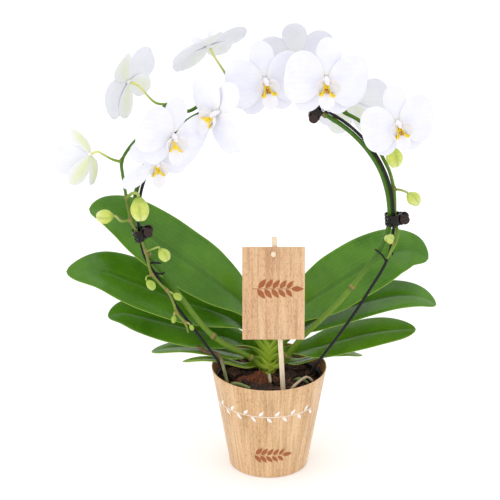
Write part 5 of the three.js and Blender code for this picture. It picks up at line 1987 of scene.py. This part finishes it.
def make_coir():
    """A torn flake of coconut husk in front of the crown: fibres that fan out of a ridge."""
    rng = random.Random(SEED + 1)
    form = Form()
    for _ in range(COIR_FIBRES):
        share = rng.random()
        x = lerp(-40, -7, share) + rng.gauss(0, 1.5)
        y = lerp(-15, -5, share) + rng.gauss(0, 1.8)
        top = 2.5 + 9.5 * share * rng.uniform(0.3, 1.0)
        turn = rad(lerp(-18, -86, share) + rng.gauss(0, 16))
        length = rng.uniform(12, 28)
        step = np.array([math.cos(turn), math.sin(turn), 0]) * length / 3
        side = np.array([-math.sin(turn), math.cos(turn), 0]) * rng.gauss(0, 1.0)
        start = np.array([x, y, float(bark_top(x, y)) + top])
        end = start + 3 * step
        if math.hypot(end[0], end[1]) > COIR_LIMIT or end[0] > COIR_RIGHT:
            continue
        end[2] = float(bark_top(end[0], end[1])) + rng.uniform(0.3, 2.5)
        rise = end[2] - start[2]
        points = [
            start - step * 0.5 - (0, 0, 0.35 * top),
            start,
            start + step + side + (0, 0, 0.25 * rise + rng.uniform(0.3, 1.6)),
            start + 2 * step + side * 0.6 + (0, 0, 0.65 * rise + rng.uniform(0, 0.8)),
            end,
        ]
        thick = rng.uniform(0.25, 0.6)
        add_tube(form, Route(points), lambda s: thick * (1 - 0.6 * s), 4, 7)
    form.piece("coir_tuft", [FIBRE])


# Aerial roots

# How each root looks along its length: its shares of brown scale, of green, and of dry beige.
ROOT_MARKS = {
    "root_left": ((1.0, 0, 0), (0.9, 0, 0), (0.2, 0.2, 0.0), (0.0, 0.5, 0.0)),
    "root_front_left": ((0.1, 0.5, 0), (0, 0.7, 0), (0, 0.6, 0), (0.2, 0.4, 0)),
    "root_tip": ((0, 1.0, 0), (0, 1.0, 0), (0, 0.4, 0.6), (0, 0, 1.0)),
    "root_right": ((0, 0.2, 1.0), (0, 0, 1.0), (0, 0, 1.0), (0.2, 0, 1.0)),
    "root_back_right": ((0, 0.6, 0), (0, 0.7, 0), (0, 0.5, 0), (0, 0.4, 0)),
}

# A root that shows better a little higher than its plain solid.
ROOT_ROUTES = {
    "root_front_left": [
        [-41, -29, 98], [-42, -29, 106], [-41, -29.5, 111], [-34, -31, 111.5], [-26, -33.5, 109.5],
        [-20, -36, 107], [-16, -38, 99],
    ],
}


def make_root(root):
    name = root["name"]
    route = Route(ROOT_ROUTES.get(name, root["points"]))
    rng = np.random.default_rng(SEED + 300 + len(name))
    phase = rng.uniform(0, PHASES, 3)
    looks = np.array(ROOT_MARKS[name], float)

    def rounded(s, length):
        return np.sqrt(np.clip(1 - (1 - np.clip(s / length, 0, 1)) ** 2, 0.01, 1))

    def radius_at(s):
        taper = root["radius"] * (1 - 0.25 * s)
        lumps = 1 + 0.06 * np.sin(31 * s + phase[0]) + 0.05 * np.sin(67 * s + phase[1])
        return taper * lumps * rounded(s, 0.04) * rounded(1 - s, 0.06)

    def mark_at(s):
        return stacked(*(np.interp(s, (0, 0.35, 0.7, 1), looks[:, k]) for k in range(3)))

    form = Form()
    add_tube(form, route, radius_at, 14, 60, mark_at=mark_at)
    form.piece(f"{name}_grown", [ROOT], [name])


# Stage, light and camera

# Each softbox's place, its width and height in metres, and its power in watts.
SOFTBOXES = {
    "softbox_left": ((-1.6, -0.5, 1.0), (0.9, 1.5), 2.6),
    "softbox_right": ((1.6, -0.3, 0.8), (0.9, 1.5), 0.6),
    "softbox_top": ((0.1, 0.0, 2.0), (1.4, 1.4), 4),
}


def make_stage():
    made = bmesh.new()
    bmesh.ops.create_grid(made, x_segments=2, y_segments=2, size=FLOOR_HALF_SIZE)
    floor = object_of("floor", made)
    floor.location.z = -FLOOR_DROP
    look = Look("floor_pale", 0.9)
    tone = look.mix(look.noise(900, detail=2), (251, 251, 251), (248, 248, 249))
    glow = {"Specular_IOR_Level": 0.1, "Emission_Color": (1, 1, 1, 1), "Emission_Strength": FLOOR_GLOW}
    floor.data.materials.append(look.finish(tone, **glow))


def make_lights():
    world = bpy.data.worlds.new("studio")
    bpy.context.scene.world = world
    world.use_nodes = True
    background = world.node_tree.nodes["Background"]
    background.inputs["Color"].default_value = (1, 1, 1, 1)
    background.inputs["Strength"].default_value = WORLD_STRENGTH
    for name, (place, size, power) in SOFTBOXES.items():
        data = bpy.data.lights.new(name, "AREA")
        data.shape = "RECTANGLE"
        data.size, data.size_y = size
        data.energy = power
        light = linked(name, data)
        light.location = place
        light.rotation_euler = (Vector(LIGHT_AIM) - Vector(place)).to_track_quat("-Z", "Y").to_euler()


def make_camera():
    data = bpy.data.cameras.new("camera")
    data.sensor_width = SENSOR_WIDTH
    data.lens = CAMERA_LENS
    data.clip_end = VIEW_REACH
    camera = linked("camera", data)
    camera.location = CAMERA_PLACE
    camera.rotation_euler = (rad(90 - CAMERA_DOWN), 0, 0)
    bpy.context.scene.camera = camera


make_camera()
make_lights()
make_stage()
make_cover()
make_cover_seam()
make_cover_prints()
make_grower_pot()
make_bark()
make_coir()
make_crown()
make_arch()
make_tag()
make_tag_print()
make_peg()
make_stick()
for leaf_index, leaf in enumerate(LEAVES):
    make_leaf(leaf, leaf_index)
for side in SPIKES:
    make_spike(side)
for bloom_index, bloom in enumerate(BLOOMS):
    make_bloom(bloom, bloom_index)
for bud in BUDS:
    make_bud(bud)
for clip in CLIPS:
    make_clip(clip)
for root in ROOTS:
    make_root(root)

bpy.context.scene.view_settings.view_transform = "Standard"
